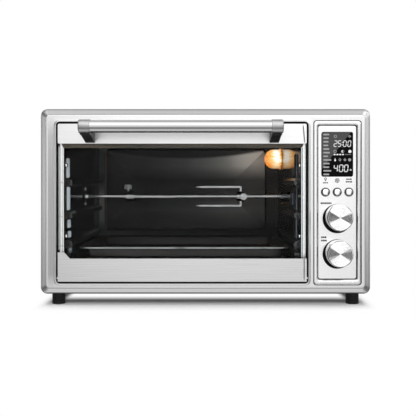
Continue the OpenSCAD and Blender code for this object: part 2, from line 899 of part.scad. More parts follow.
module element_insulators() {
    color("white") for (y = element_y) {
        for (z = [element_z0, element_z1]) {
            for (side = [-1, 1]) {
                wall = side < 0 ? cav_x0 - sheet : cav_x1 + sheet;
                translate([wall, y, z]) rotate([0, side * 90, 0]) difference() {
                    union() {
                        cylinder(h = insulator_flange_t, r = insulator_flange_r);
                        translate([0, 0, -sheet]) cylinder(h = insulator_len + sheet, r = insulator_r);
                    }
                    translate([0, 0, -insulator_len])
                        cylinder(h = 3 * insulator_len, r = element_r + run_gap);
                }
            }
        }
    }
}

module lamp_holder() {
    x0 = cav_x1 + sheet;
    color("white") difference() {
        rod_x(x0, x0 + holder_d, lamp_y, lamp_z, holder_r);
        rod_x(x0 - reach_past, x0 + holder_d - 2 * bulb_seat, lamp_y, lamp_z, bulb_r + 2);
        rod_x(x0 - reach_past, x0 + holder_d - bulb_seat, lamp_y, lamp_z, bulb_neck);
    }
}

module lamp_bulb() {
    x0 = cav_x1 + sheet + holder_d - bulb_seat;
    color("ivory") translate([x0, lamp_y, lamp_z]) rotate([0, -90, 0]) rotate_extrude() polygon(concat(
        [[0, 0], [bulb_neck - run_gap, 0], [bulb_neck - run_gap, bulb_seat + 2], [bulb_r, 2 * bulb_seat]],
        arc(0, holder_d + 4, bulb_r, 0, 90)
    ));
}

module lamp_lens() {
    dome = lamp_len - lamp_r;
    color("wheat") translate([cav_x1, lamp_y, lamp_z]) rotate([0, -90, 0]) rotate_extrude() polygon(concat(
        [[lamp_r - lamp_wall, 0], [lamp_flange_r, 0], [lamp_flange_r, 3], [lamp_r, 4]],
        arc(0, dome, lamp_r, 0, 90, 10),
        arc(0, dome, lamp_r - lamp_wall, 90, 0, 10)
    ));
}

module fan_housing() {
    color("silver") difference() {
        rod_x(housing_x, housing_x + housing_d, fan_y, fan_z, housing_r);
        rod_x(housing_x - reach_past, housing_x + housing_d - sheet, fan_y, fan_z, housing_r - sheet);
        rod_x(housing_x, housing_x + housing_d + reach_past, fan_y, fan_z, fan_shaft_r + 2);
    }
}

module fan_motor() {
    x0 = housing_x + housing_d;
    color("gray") difference() {
        union() {
            rod_x(x0, x0 + fan_motor_d, fan_y, fan_z, fan_motor_r);
            rod_x(x0 + fan_motor_d - 1, x0 + fan_motor_d + 6, fan_y, fan_z, fan_motor_r / 3);
        }
        rod_x(x0 - reach_past, x0 + fan_shaft_len + 2, fan_y, fan_z, fan_shaft_r + run_gap);
    }
}

module convection_fan() {
    color("silver") {
        difference() {
            union() {
                rod_x(fan_x0 + fan_w - sheet, fan_x0 + fan_w, fan_y, fan_z, fan_r);
                rod_x(fan_x0, fan_x0 + fan_w, fan_y, fan_z, fan_hub_r);
                for (i = [1:fan_blades]) {
                    translate([fan_x0, fan_y, fan_z]) rotate([i * 360 / fan_blades, 0, 0])
                        translate([0, -sheet / 2, fan_hub_r - 1])
                        cube([fan_w - sheet / 2, sheet, fan_r - fan_hub_r]);
                }
            }
            rod_x(fan_x0 - reach_past, fan_x0 + 3, fan_y, fan_z, fan_hub_r / 2);
        }
        rod_x(fan_x0 + fan_w - 1, housing_x + housing_d + fan_shaft_len, fan_y, fan_z, fan_shaft_r);
    }
}

module rotisserie_motor() {
    x0 = cav_x1 + sheet;
    color("gray") difference() {
        union() {
            block(
                x0, x0 + motor_d, spit_y - motor_side / 2, spit_y + motor_side / 2,
                spit_z - motor_side / 2, spit_z + motor_side / 2
            );
            rod_x(x0 + motor_d - 1, x0 + motor_d + 10, spit_y, spit_z, motor_side / 2 - 4);
        }
        rod_x(x0 - reach_past, x0 + socket_shaft_len + 2, spit_y, spit_z, socket_shaft_r + run_gap);
    }
}

module spit_drive_socket() {
    x1 = cav_x1 - slide;
    color("silver") difference() {
        union() {
            rod_x(x1 - socket_len, x1, spit_y, spit_z, socket_r);
            rod_x(x1 - 1, cav_x1 + sheet + socket_shaft_len, spit_y, spit_z, socket_shaft_r);
        }
        side = spit_side + 2 * fit;
        block(
            x1 - socket_len - reach_past, spit_x1 + slide, spit_y - side / 2, spit_y + side / 2,
            spit_z - side / 2, spit_z + side / 2
        );
    }
}

module spit_support() {
    color("silver") {
        difference() {
            union() {
                block(
                    cav_x0, cav_x0 + support_t, spit_y - support_boss_r, spit_y + support_boss_r,
                    spit_z - support_screw_dz - support_edge, spit_z + support_screw_dz + support_edge
                );
                rod_x(cav_x0 + 1, cav_x0 + support_t + support_boss, spit_y, spit_z, support_boss_r);
            }
            rod_x(
                cav_x0 + support_t, cav_x0 + support_t + support_boss + reach_past, spit_y, spit_z,
                journal_r + run_gap
            );
            for (dz = [-support_screw_dz, support_screw_dz]) {
                rod_x(cav_x0 - 1, cav_x0 + support_t + 1, spit_y, spit_z + dz, case_screw_r + fit);
            }
        }
    }
}

module spit_rod() {
    color("silver") {
        rod_x(spit_x0, spit_sq_x0 + 1, spit_y, spit_z, journal_r);
        rod_x(spit_sq_x0, spit_sq_x0 + collar_t, spit_y, spit_z, collar_r);
        block(
            spit_sq_x0 + collar_t / 2, spit_x1, spit_y - spit_side / 2, spit_y + spit_side / 2,
            spit_z - spit_side / 2, spit_z + spit_side / 2
        );
    }
}

// Fork whose tines run along X from the hub, turned by an angle round the spit
module fork(hub_x, direction, angle) {
    bore = spit_side + 2 * fit;
    color("silver") translate([hub_x, spit_y, spit_z]) rotate([angle, 0, 0]) difference() {
        union() {
            rod_x(-hub_len / 2, hub_len / 2, 0, 0, hub_r);
            block(
                -tine_t / 2, tine_t / 2, -tine_t, tine_t, -tine_out - tine_t / 2, tine_out + tine_t / 2
            );
            for (side = [-1, 1]) {
                translate([0, 0, side * tine_out]) mirror([direction < 0 ? 1 : 0, 0, 0]) tine();
            }
        }
        block(-hub_len, hub_len, -bore / 2, bore / 2, -bore / 2, bore / 2);
        rod_y(0, hub_r + reach_past, -direction * thumb_off, 0, thumb_r + run_gap);
    }
}

// One tine that narrows to a point
module tine() {
    tip = 12;
    half = tine_t / 2;
    slab_y(-half, half) polygon([
        [0, -half], [tine_len - tip, -half], [tine_len, 0], [tine_len - tip, half], [0, half]
    ]);
}

module left_fork() {
    fork(cav_mid - left_fork_at, 1, left_fork_turn);
}

module right_fork() {
    fork(cav_mid + right_fork_at, -1, right_fork_turn);
}

// Thumb screw that clamps a fork, square to its tines, with a knurled head
module thumbscrew(x, angle) {
    y0 = hub_r + thumb_stand;
    color("silver") translate([x, spit_y, spit_z]) rotate([angle, 0, 0]) difference() {
        union() {
            rod_y(thumb_tip, y0 + 1, 0, 0, thumb_r);
            rod_y(y0, y0 + thumb_head, 0, 0, thumb_head_r);
        }
        for (a = [0:30:330]) {
            rod_y(y0 - 1, y0 + thumb_head + 1, thumb_head_r * cos(a), thumb_head_r * sin(a), knurl_r);
        }
    }
}

module left_thumbscrew() {
    thumbscrew(cav_mid - left_fork_at - thumb_off, left_fork_turn);
}

module right_thumbscrew() {
    thumbscrew(cav_mid + right_fork_at + thumb_off, right_fork_turn);
}

module chamber_screws() {
    head = chamber_screw_head;
    color("silver") {
        for (at = chamber_screw_points()) {
            rod_x(cav_x0, cav_x0 + head, at[0], at[1], case_screw_head_r);
            rod_x(cav_x0 - chamber_screw_bite, cav_x0 + head / 2, at[0], at[1], case_screw_r);
            rod_x(cav_x1 - head, cav_x1, at[0], at[1], case_screw_head_r);
            rod_x(cav_x1 - head / 2, cav_x1 + chamber_screw_bite, at[0], at[1], case_screw_r);
        }
        for (dz = [-support_screw_dz, support_screw_dz]) {
            x0 = cav_x0 + support_t;
            rod_x(x0, x0 + head, spit_y, spit_z + dz, case_screw_head_r);
            rod_x(cav_x0 - chamber_screw_bite, x0 + head / 2, spit_y, spit_z + dz, case_screw_r);
        }
    }
}

module temperature_probe() {
    tip_x = cav_x1 - probe_len;
    color("silver") {
        rod_x(tip_x, cav_x1 + sheet + probe_collar / 2, probe_y, probe_z, probe_r);
        translate([tip_x, probe_y, probe_z]) sphere(r = probe_r);
        rod_x(cav_x1 + sheet, cav_x1 + sheet + probe_collar, probe_y, probe_z, probe_collar_r);
    }
}

module panel_surround() {
    back_y = panel_y1 + surround_back;
    color("gainsboro") difference() {
        union() {
            bevel_box(
                surround_x0, surround_x1, surround_z0, surround_z1, face_y - surround_lip, face_y,
                surround_lip, surround_lip, panel_r + 1
            );
            slab_y(face_y - surround_lip / 2, back_y) polygon(round_rect(
                surround_x0 + surround_seat + fit, surround_x1 - surround_seat - fit,
                surround_z0 + surround_seat + fit, surround_z1 - surround_seat - fit, panel_r
            ));
            for (x = [panel_x0 + 1, panel_x1 - 1]) {
                for (z = [panel_z0 + post_in, panel_z1 - post_in]) rod_y(back_y - 1, board_y0, x, z, post_r);
            }
        }
        slab_y(face_y - surround_lip - reach_past, panel_y1)
            polygon(round_rect(panel_x0 - fit, panel_x1 + fit, panel_z0 - fit, panel_z1 + fit, panel_r));
        funnel(
            panel_x0 - fit, panel_x1 + fit, panel_z0 - fit, panel_z1 + fit, face_y - surround_lip - fit,
            panel_y0, surround_slope
        );
        slab_y(face_y, back_y + reach_past) polygon(round_rect(
            panel_x0 + surround_ledge, panel_x1 - surround_ledge,
            panel_z0 + surround_ledge, panel_z1 - surround_ledge, panel_r
        ));
    }
}

module control_panel() {
    color("silver") difference() {
        slab_y(panel_y0, panel_y1) polygon(round_rect(panel_x0, panel_x1, panel_z0, panel_z1, panel_r));
        slab_y(panel_y0 - reach_past, panel_y1 + reach_past)
            polygon(round_rect(display_x0, display_x1, display_z0, display_z1, panel_r));
        for (x = button_x) {
            rod_y(panel_y0 - reach_past, panel_y1 + reach_past, x, button_z, button_r + slide);
        }
        for (z = knob_z) {
            rod_y(panel_y0 - reach_past, panel_y1 + reach_past, panel_mid, z, encoder_bush_r + fit);
        }
    }
}

module display_window() {
    color("black") slab_y(panel_y0 - display_proud, panel_y0 - display_proud + display_t) polygon(round_rect(
        display_x0 + fit / 2, display_x1 - fit / 2, display_z0 + fit / 2, display_z1 - fit / 2, panel_r
    ));
}

module control_board() {
    module_y0 = panel_y0 - display_proud + display_t;
    color("darkgreen") {
        block(
            panel_mid - board_w / 2, panel_mid + board_w / 2, board_y0, board_y0 + board_t,
            panel_z0 + board_edge, panel_z1 - board_edge
        );
        block(
            display_x0 + board_edge / 2, display_x1 - board_edge / 2, module_y0, board_y0 + board_t / 2,
            display_z0 + board_edge / 2, display_z1 - board_edge - 2
        );
        block(
            panel_mid - supply_w / 2, panel_mid + supply_w / 2, board_y0 + 1, board_y0 + 1 + supply_d,
            panel_z0 + 2 * board_edge, panel_z0 + 2 * board_edge + supply_h
        );
    }
}

module knob_encoders() {
    color("gray") for (z = knob_z) {
        block(
            panel_mid - encoder_side / 2, panel_mid + encoder_side / 2, panel_y1 + surround_back, board_y0,
            z - encoder_side / 2, z + encoder_side / 2
        );
        rod_y(panel_y0 + fit, panel_y1 + surround_back + 1, panel_mid, z, encoder_bush_r);
        rod_y(panel_y0 - knob_gap - knob_bore + 1, panel_y1 + 1, panel_mid, z, encoder_shaft_r);
    }
}

module button_switches() {
    color("dimgray") for (x = button_x) {
        block(
            x - switch_side / 2, x + switch_side / 2, board_y0 - switch_h, board_y0,
            button_z - switch_side / 2, button_z + switch_side / 2
        );
    }
}

// Push button with a flange behind the panel and a stem that reaches for its switch
module push_button(x) {
    flange_y = panel_y1 + fit;
    color("gainsboro") {
        rod_y(panel_y0 - button_out, flange_y + button_flange, x, button_z, button_r);
        rod_y(flange_y, flange_y + button_flange, x, button_z, button_r + 1.4);
        rod_y(flange_y, board_y0 - switch_h - button_travel - slide, x, button_z, button_stem_r);
    }
}

module light_button() {
    push_button(button_x[0]);
}

module fan_button() {
    push_button(button_x[1]);
}

module start_button() {
    push_button(button_x[2]);
}

// Turning knob with a skirt, a bevelled rim and a shallow dish in its face
module turn_knob(z) {
    skirt_h = 5;
    rim = 3;
    dish = 0.6;
    grip_r = knob_r - 1;
    face_r = grip_r - rim;
    length = knob_out - knob_gap;
    color("silver") translate([panel_mid, panel_y0 - knob_gap, z]) rotate([90, 0, 0]) difference() {
        rotate_extrude() polygon([
            [0, 0], [knob_r, 0], [knob_r, skirt_h], [grip_r, skirt_h], [grip_r, length - rim],
            [face_r, length], [face_r - 1, length], [face_r - 2, length - dish], [0, length - dish]
        ]);
        translate([0, 0, -reach_past]) cylinder(h = knob_bore + reach_past, r = encoder_shaft_r + run_gap);
    }
}

module function_knob() {
    turn_knob(knob_z[0]);
}

module time_knob() {
    turn_knob(knob_z[1]);
}

// Brackets behind the frame that hold the fixed hinge pins
module hinge_brackets() {
    color("gray") for (x0 = [open_x0 - sheet - fit - bracket_w, open_x1 + sheet + fit]) {
        difference() {
            block(
                x0, x0 + bracket_w, face_y + sheet + fit, ring_y0, hinge_z - bracket_h / 3,
                hinge_z + bracket_h * 2 / 3
            );
            rod_x(x0 - reach_past, x0 + bracket_w + reach_past, hinge_y, hinge_z, pin_r + run_gap / 2);
        }
    }
}

module hinge_pins() {
    outer = sheet + fit + bracket_w;
    color("silver") {
        rod_x(open_x0 - outer, door_x0 + sheet + pin_in, hinge_y, hinge_z, pin_r);
        rod_x(door_x1 - sheet - pin_in, open_x1 + outer, hinge_y, hinge_z, pin_r);
    }
}

module door_top_rail() {
    z0 = door_z1 - top_rail_h;
    color("silver") difference() {
        slab_y(door_y0, door_y1) polygon(round_rect(door_x0, door_x1, z0, door_z1, 2));
        block(
            door_x0 + sheet, door_x1 - sheet, door_y0 + sheet, door_y1 + reach_past, z0 - reach_past,
            door_z1 - sheet
        );
        for (side = [-1, 1]) {
            rod_y(door_y0 - 1, door_y0 + sheet + 1, door_mid + side * arm_x, screw_z, screw_r + fit);
        }
    }
}

// Front outline of the lower rail with the ear at its left end
function bottom_rail_points() = let (z1 = door_z0 + bottom_rail_h) [
    [door_x0, door_z0], [door_x1, door_z0], [door_x1, z1], [door_x0 + ear_w + ear_slope, z1],
    [door_x0 + ear_w, z1 + ear_h], [door_x0, z1 + ear_h]
];

module door_bottom_rail() {
    z1 = door_z0 + bottom_rail_h;
    color("silver") difference() {
        union() {
            slab_y(door_y0, door_y0 + sheet) polygon(bottom_rail_points());
            block(door_x0, door_x1, door_y0, door_y1, door_z0, door_z0 + sheet);
            for (x0 = [door_x0, door_x1 - sheet]) {
                block(x0, x0 + sheet, door_y0, door_y1, door_z0, z1);
            }
        }
        rod_x(door_x0 - 1, door_x1 + 1, hinge_y, hinge_z, pin_r + slide);
    }
}

module door_glass() {
    color("lightblue", 0.4) difference() {
        block(door_x0 + sheet + fit, door_x1 - sheet - fit, glass_y0, glass_y1, glass_z0, glass_z1);
        for (side = [-1, 1]) {
            rod_y(glass_y0 - 1, glass_y1 + 1, door_mid + side * arm_x, screw_z, screw_r + 1);
        }
    }
}

// Strips that hold the glass against the two rails from behind
module door_keepers() {
    lower_x = sheet + pin_in + 2;
    color("silver") {
        difference() {
            block(
                door_x0 + sheet + fit, door_x1 - sheet - fit, glass_y1, keeper_y1,
                door_z1 - top_rail_h + 2, door_z1 - sheet
            );
            for (side = [-1, 1]) {
                rod_y(glass_y1 - 1, keeper_y1 + 1, door_mid + side * arm_x, screw_z, screw_r + fit);
            }
        }
        block(
            door_x0 + lower_x, door_x1 - lower_x, glass_y1, keeper_y1, door_z0 + sheet,
            door_z0 + bottom_rail_h - 2
        );
    }
}

// Blocks in the ends of the lower rail that turn on the pins
module door_hinge_blocks() {
    color("gray") for (x0 = [door_x0 + sheet, door_x1 - sheet - block_w]) {
        difference() {
            block(
                x0, x0 + block_w, door_y0 + sheet, door_y0 + sheet + block_d, door_z0 + sheet,
                door_z0 + sheet + block_h
            );
            rod_x(x0 - 1, x0 + block_w + 1, hinge_y, hinge_z, pin_r + run_gap);
        }
    }
}

// Helix of wire along X, six sides to the wire and eight rings to the turn
module wire_helix(x0, length) {
    rings = 8 * spring_turns;
    sides = 6;
    points = [for (i = [0:rings]) for (k = [0:sides - 1])
        let (a = 45 * i, b = 360 * k / sides, r = spring_r + spring_wire * cos(b))
        [x0 + length * i / rings + spring_wire * sin(b), hinge_y + r * cos(a), hinge_z + r * sin(a)]];
    skin = [for (i = [0:rings - 1]) for (k = [0:sides - 1]) for (half = [0, 1])
        let (k1 = (k + 1) % sides, p = i * sides, q = p + sides)
        half == 0 ? [p + k, q + k, q + k1] : [p + k, q + k1, p + k1]];
    start = [for (k = [1:sides - 2]) [0, k, k + 1]];
    end = [for (k = [1:sides - 2]) [rings * sides, rings * sides + k + 1, rings * sides + k]];
    polyhedron(points = points, faces = concat(skin, start, end));
}

module door_springs() {
    lead = spring_wire + fit;
    color("gray") {
        wire_helix(door_x0 + sheet + block_w + lead, spring_len);
        wire_helix(door_x1 - sheet - block_w - lead - spring_len, spring_len);
    }
}

module handle_tube() {
    x0 = bar_x0 + ferrule_end;
    x1 = bar_x1 - ferrule_end;
    color("silver") difference() {
        rod_x(x0, x1, bar_y, bar_z, bar_r);
        rod_x(x0 - reach_past, x1 + reach_past, bar_y, bar_z, bar_r - tube_wall);
    }
}

// End caps that the tube is pushed into
module handle_ferrules() {
    color("darkgray") for (side = [-1, 1]) {
        end_x = side < 0 ? bar_x0 : bar_x1;
        translate([end_x, bar_y, bar_z]) rotate([0, -side * 90, 0]) difference() {
            rotate_extrude() polygon(concat(
                [[0, 0]], arc(ferrule_r - ferrule_round, ferrule_round, ferrule_round, -90, 0),
                [[ferrule_r, ferrule_len], [0, ferrule_len]]
            ));
            translate([0, 0, ferrule_end]) cylinder(h = ferrule_len, r = bar_r + run_gap / 2);
        }
    }
}

// Arms between the ferrules and the upper door rail
module handle_arms() {
    color("black") for (side = [-1, 1]) {
        x = door_mid + side * arm_x;
        difference() {
            slab_x(x - arm_w / 2, x + arm_w / 2) polygon([
                [door_y0, arm_z0], [door_y0, arm_z1], [bar_y + arm_round, bar_z + ferrule_r / 2],
                [bar_y, bar_z - ferrule_r - arm_wall], [bar_y + ferrule_r, bar_z - ferrule_r - arm_round]
            ]);
            rod_x(x - arm_w, x + arm_w, bar_y, bar_z, ferrule_r + run_gap / 2);
            rod_y(door_y0 - screw_bite, door_y0 + 1, x, screw_z, screw_r + run_gap / 2);
        }
    }
}

module handle_screws() {
    color("gray") for (side = [-1, 1]) {
        x = door_mid + side * arm_x;
        rod_y(keeper_y1, keeper_y1 + screw_head_h, x, screw_z, screw_head_r);
        rod_y(door_y0 - screw_bite + 1, keeper_y1 + 1, x, screw_z, screw_r);
    }
}

module baking_pan() {
    rim_z1 = pan_z0 + pan_t;
    floor_z = rim_z1 - pan_h;
    wall_x0 = pan_x0 + pan_flange;
    wall_x1 = pan_x1 - pan_flange;
    wall_y0 = pan_y0 + pan_flange;
    wall_y1 = pan_y1 - pan_flange;
    color("dimgray") difference() {
        union() {
            slab_z(pan_z0, rim_z1) polygon(round_rect(pan_x0, pan_x1, pan_y0, pan_y1, pan_corner));
            tapered_pit(wall_x0, wall_x1, wall_y0, wall_y1, floor_z, rim_z1, pan_slope);
        }
        tapered_pit(
            wall_x0 + pan_t, wall_x1 - pan_t, wall_y0 + pan_t, wall_y1 - pan_t, floor_z + pan_t,
            rim_z1 + 0.01, pan_slope
        );
    }
}

module crumb_tray() {
    color("silver") difference() {
        block(tray_x0, tray_x1, tray_y0, tray_y1, tray_z0, tray_z0 + tray_h);
        block(
            tray_x0 + pan_t, tray_x1 - pan_t, tray_y0 + pan_t, tray_y1 - pan_t, tray_z0 + pan_t,
            tray_z0 + tray_h + reach_past
        );
    }
}

front_frame();
outer_wrap();
base_plate();
rear_cover();
cord_bushing();
rear_spacers();
feet();
casing_screws();
mouth_ring();
chamber_left_wall();
chamber_right_wall();
chamber_ceiling();
chamber_floor();
chamber_back_wall();
left_rack_ribs();
right_rack_ribs();
upper_elements();
lower_elements();
element_insulators();
lamp_holder();
lamp_bulb();
lamp_lens();
fan_housing();
fan_motor();
rotisserie_motor();
spit_support();
chamber_screws();
temperature_probe();
panel_surround();
control_panel();
display_window();
control_board();
knob_encoders();
button_switches();
hinge_brackets();
hinge_pins();
door_top_rail();
door_bottom_rail();
door_glass();
door_keepers();
door_hinge_blocks();
door_springs();
handle_tube();
handle_ferrules();
handle_arms();
handle_screws();
function_knob();
time_knob();
light_button();
fan_button();
start_button();
convection_fan();
spit_drive_socket();
spit_rod();
left_fork();
right_fork();
left_thumbscrew();
right_thumbscrew();
baking_pan();
crumb_tray();
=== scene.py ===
# %% [markdown]
# # A countertop oven, dressed for the camera
# The solids of the oven come from a CAD frame: casing, door, chamber, spit, pan and control column. This
# lesson loads that frame, sets a camera and a small studio, and then gives each piece the finish of the real
# one. Where a solid is too plain for the camera, such as a knob or the folded front frame, a finer mesh is
# built in its place.

# %% Load the CAD frame
import json
import math

import bmesh
import bpy
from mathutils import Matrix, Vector


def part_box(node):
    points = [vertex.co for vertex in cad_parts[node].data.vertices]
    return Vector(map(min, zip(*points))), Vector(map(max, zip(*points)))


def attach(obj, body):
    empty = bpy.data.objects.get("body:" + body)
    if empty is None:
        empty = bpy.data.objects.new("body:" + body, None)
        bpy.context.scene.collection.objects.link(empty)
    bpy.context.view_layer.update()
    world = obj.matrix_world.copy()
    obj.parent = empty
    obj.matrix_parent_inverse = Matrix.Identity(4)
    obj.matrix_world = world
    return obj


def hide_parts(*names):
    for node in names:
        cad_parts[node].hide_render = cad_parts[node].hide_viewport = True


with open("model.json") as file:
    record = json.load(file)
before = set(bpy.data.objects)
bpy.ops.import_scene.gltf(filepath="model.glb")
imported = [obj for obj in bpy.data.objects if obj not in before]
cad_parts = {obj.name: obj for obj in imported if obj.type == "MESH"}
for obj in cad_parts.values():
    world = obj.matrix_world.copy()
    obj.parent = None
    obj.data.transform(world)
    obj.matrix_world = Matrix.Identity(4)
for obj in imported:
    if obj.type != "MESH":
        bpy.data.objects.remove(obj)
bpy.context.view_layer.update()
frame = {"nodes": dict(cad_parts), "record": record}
nodes = frame["nodes"]
MM = 0.001

# %% [markdown]
# ## Sizes that the meshes share
# Every mesh below is drawn in millimetres in the CAD frame, because that is how a sheet-metal drawing reads.
# A node's box gives its place, so the pieces follow the CAD if it changes. The function `span` returns such
# a box in mm.

# %% Read the main sizes
def span(node):
    lo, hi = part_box(node)
    return [v / MM for v in lo], [v / MM for v in hi]


frame_lo, frame_hi = span("front_frame")
rail_lo, rail_hi = span("door_top_rail")
low_rail_lo, low_rail_hi = span("door_bottom_rail")
panel_lo, panel_hi = span("control_panel")
rim_lo, rim_hi = span("panel_surround")
screen_lo, screen_hi = span("display_window")
FACE_Y = frame_lo[1]
DOOR_GAP = 2.4
print("front face at y =", round(FACE_Y, 2), "frame", [round(v, 1) for v in frame_lo + frame_hi])

# %% [markdown]
# ## The camera
# The photograph looks straight at the front from about 0.9 m, a little above the middle of the oven. A level
# camera keeps upright edges parallel, as a view camera does, and a small downward lens shift frames the
# oven. Moving the camera up and tilting it would have been the other way, but then the sides of the casing
# would lean.

# %% Place the camera
CAMERA_DISTANCE = 910
CAMERA_X = 3.7
EYE_HEIGHT = 181
FRAME_WIDTH = 602
LENS_SHIFT = -0.0675
SENSOR = 36


def put_in_scene(obj):
    bpy.context.scene.collection.objects.link(obj)
    return obj


camera_data = bpy.data.cameras.new("front_camera")
camera = put_in_scene(bpy.data.objects.new("front_camera", camera_data))
camera.location = (CAMERA_X * MM, (FACE_Y - CAMERA_DISTANCE) * MM, EYE_HEIGHT * MM)
camera.rotation_euler = (math.radians(90), 0, 0)
camera_data.sensor_width = SENSOR
camera_data.lens = SENSOR * CAMERA_DISTANCE / FRAME_WIDTH
camera_data.shift_y = LENS_SHIFT
camera_data.clip_start = 0.01
bpy.context.scene.camera = camera
bpy.context.scene.view_settings.view_transform = "Standard"
print("lens", round(camera_data.lens, 1), "mm")

# %% [markdown]
# ## Tools for shader nodes
# Finishes, floor and studio are all node trees. In the editor they would be wired by hand. Here one short
# function stands for each kind of node, so that a line of code reads as a formula: `feed` links an output to
# a socket or sets a plain value there, and `wired` makes a node in the tree of the values that it is fed
# with and returns its outputs.

# %% Define the node tools
def is_output(value):
    return isinstance(value, bpy.types.NodeSocket)


def node_of(tree, kind, **settings):
    made = tree.nodes.new(kind)
    for key, value in settings.items():
        setattr(made, key, value)
    return made


def feed(value, socket):
    if is_output(value):
        socket.id_data.links.new(value, socket)
    else:
        socket.default_value = value


def wired(kind, *values, **settings):
    made = node_of(next(value.id_data for value in values if is_output(value)), kind, **settings)
    for value, socket in zip(values, [socket for socket in made.inputs if socket.enabled]):
        feed(value, socket)
    return made.outputs


def math_of(operation, value, *others):
    return wired("ShaderNodeMath", value, *others, operation=operation)[0]


def minus(a, b):
    return math_of("SUBTRACT", a, b)


def product(value, *others):
    for other in others:
        value = math_of("MULTIPLY", value, other)
    return value


def highest(value, *others):
    for other in others:
        value = math_of("MAXIMUM", value, other)
    return value


def over(value, limit):
    return math_of("GREATER_THAN", value, limit)


def size_of(value):
    return math_of("ABSOLUTE", value)


def halved(value):
    """From -1 to 1, the range of a direction, to the range of a ramp, 0 to 1."""
    return math_of("MULTIPLY_ADD", value, 0.5, 0.5)


def ramp_of(factor, stops):
    ramp = wired("ShaderNodeValToRGB", factor)[0]
    elements = ramp.node.color_ramp.elements
    while len(elements) < len(stops):
        elements.new(0.5)
    for element, (place, colour) in zip(elements, stops):
        element.position = place
        element.color = (*((colour,) * 3 if isinstance(colour, (int, float)) else colour), 1)
    return ramp


def share_of(value, low, high, out=(0, 1), kind="LINEAR"):
    """How far a value is on the way from low to high."""
    return wired("ShaderNodeMapRange", value, low, high, *out, interpolation_type=kind)[0]


def mix_of(factor, a, b, kind="RGBA", blend="MIX"):
    return wired("ShaderNodeMix", factor, a, b, data_type=kind, blend_type=blend)["Result"]


def either(factor, first, second):
    return wired("ShaderNodeMixShader", factor, first, second)[0]


def xyz_of(vector):
    return wired("ShaderNodeSeparateXYZ", vector)


def seen_from_front(vector):
    """The part of a vector that lies in the plane of the front: X and Z."""
    parts = xyz_of(vector)
    return wired("ShaderNodeCombineXYZ", parts["X"], parts["Z"])[0]


def length_of(vector):
    return wired("ShaderNodeVectorMath", vector, operation="LENGTH")["Value"]


def coords_of(tree):
    return node_of(tree, "ShaderNodeTexCoord").outputs["Object"]


def facing_of(tree):
    return xyz_of(node_of(tree, "ShaderNodeNewGeometry").outputs["Normal"])


def paths_of(tree):
    return node_of(tree, "ShaderNodeLightPath").outputs


print("node tools are ready")

# %% [markdown]
# ## The studio
# Polished metal has hardly a colour of its own: it shows the room. So the world is a studio seen only in
# reflections, white in front and above, dark in two sectors to the left and right, which is what draws the
# two grey fans on a turned knob and the grey bevels of the frame. Far to the sides a bright strip relieves
# those sectors and some corners are darker, for the rolled edges. The camera itself sees plain white, and
# matt surfaces get an even, plain light. Each list is a row of stops: by height, by the turn round the view
# axis, or by the way off that axis or behind the oven.

# %% Build the world
WHITE = (1, 1, 1, 1)
DIFFUSE_LEVEL = 0.5
HEIGHT_STOPS = [
    (0, 0.88), (0.03, 0.84), (0.06, 0.82), (0.1, 0.78), (0.125, 0.45), (0.15, 0.2), (0.21, 0.18),
    (0.25, 0.32), (0.33, 0.65), (0.41, 0.95), (0.47, 1.08), (0.56, 1.14), (0.64, 1.7), (0.9, 1.9),
    (0.96, 1.2), (1, 0.9),
]
SECTOR_TURN = [
    (0, 0.9), (0.1, 0.85), (0.108, 0), (0.418, 0), (0.426, 1), (0.5, 0.9), (0.532, 0.85), (0.54, 0),
    (0.89, 0), (0.898, 1), (1, 0.9),
]
SECTOR_OFF = [(0.31, 1), (0.345, 0.07), (0.5, 0.02), (0.72, 0.03), (0.8, 0.1), (1, 0.14)]
RELIEF_TURN = [
    (0, 0.98), (0.014, 0.94), (0.026, 0), (0.474, 0), (0.486, 0.94), (0.514, 0.94), (0.526, 0), (0.974, 0),
    (0.986, 0.94), (1, 0.98),
]
RELIEF_OFF = [(0.79, 0), (0.82, 1), (0.9, 1), (0.96, 0)]
CORNER_TURN = [
    (0.36, 0), (0.38, 0.6), (0.42, 0.5), (0.43, 0), (0.55, 0), (0.56, 0.65), (0.61, 0.6), (0.645, 0),
    (0.84, 0), (0.855, 0.95), (0.93, 0.95), (0.945, 0),
]
CORNER_OFF = [(0.74, 0), (0.79, 1), (0.96, 1), (1, 0.4)]
BEHIND_STOPS = [(0.5, 1), (0.58, 0.3), (0.66, 0.3), (0.78, 0.7), (1, 0.75)]
FRONT_STOPS = [(0.5, 1), (0.64, 0)]


def light_of(colour, strength=1.0):
    made = node_of(tree, "ShaderNodeBackground")
    feed(colour, made.inputs["Color"])
    feed(strength, made.inputs["Strength"])
    return made.outputs[0]


world = bpy.data.worlds.new("studio")
bpy.context.scene.world = world
world.use_nodes = True
tree = world.node_tree
tree.nodes.clear()
direction = node_of(tree, "ShaderNodeTexCoord").outputs["Generated"]
way = xyz_of(direction)
height, behind = halved(way["Z"]), halved(way["Y"])
sideways = seen_from_front(direction)
turn = wired("ShaderNodeTexGradient", sideways, gradient_type="RADIAL")["Fac"]
off_axis = length_of(sideways)
in_sector = product(ramp_of(turn, SECTOR_TURN), ramp_of(behind, FRONT_STOPS))
sides = mix_of(in_sector, WHITE, ramp_of(off_axis, SECTOR_OFF))
relief = product(ramp_of(turn, RELIEF_TURN), ramp_of(off_axis, RELIEF_OFF))
corner = product(ramp_of(turn, CORNER_TURN), ramp_of(off_axis, CORNER_OFF))
lit = product(ramp_of(height, HEIGHT_STOPS), math_of("ADD", sides, relief), ramp_of(behind, BEHIND_STOPS))
room = light_of(product(lit, minus(1, corner)))
paths = paths_of(tree)
reflected = either(paths["Is Diffuse Ray"], room, light_of(WHITE, DIFFUSE_LEVEL))
seen = either(paths["Is Camera Ray"], reflected, light_of(WHITE))
feed(seen, node_of(tree, "ShaderNodeOutputWorld").inputs["Surface"])
print("world nodes:", len(tree.nodes))

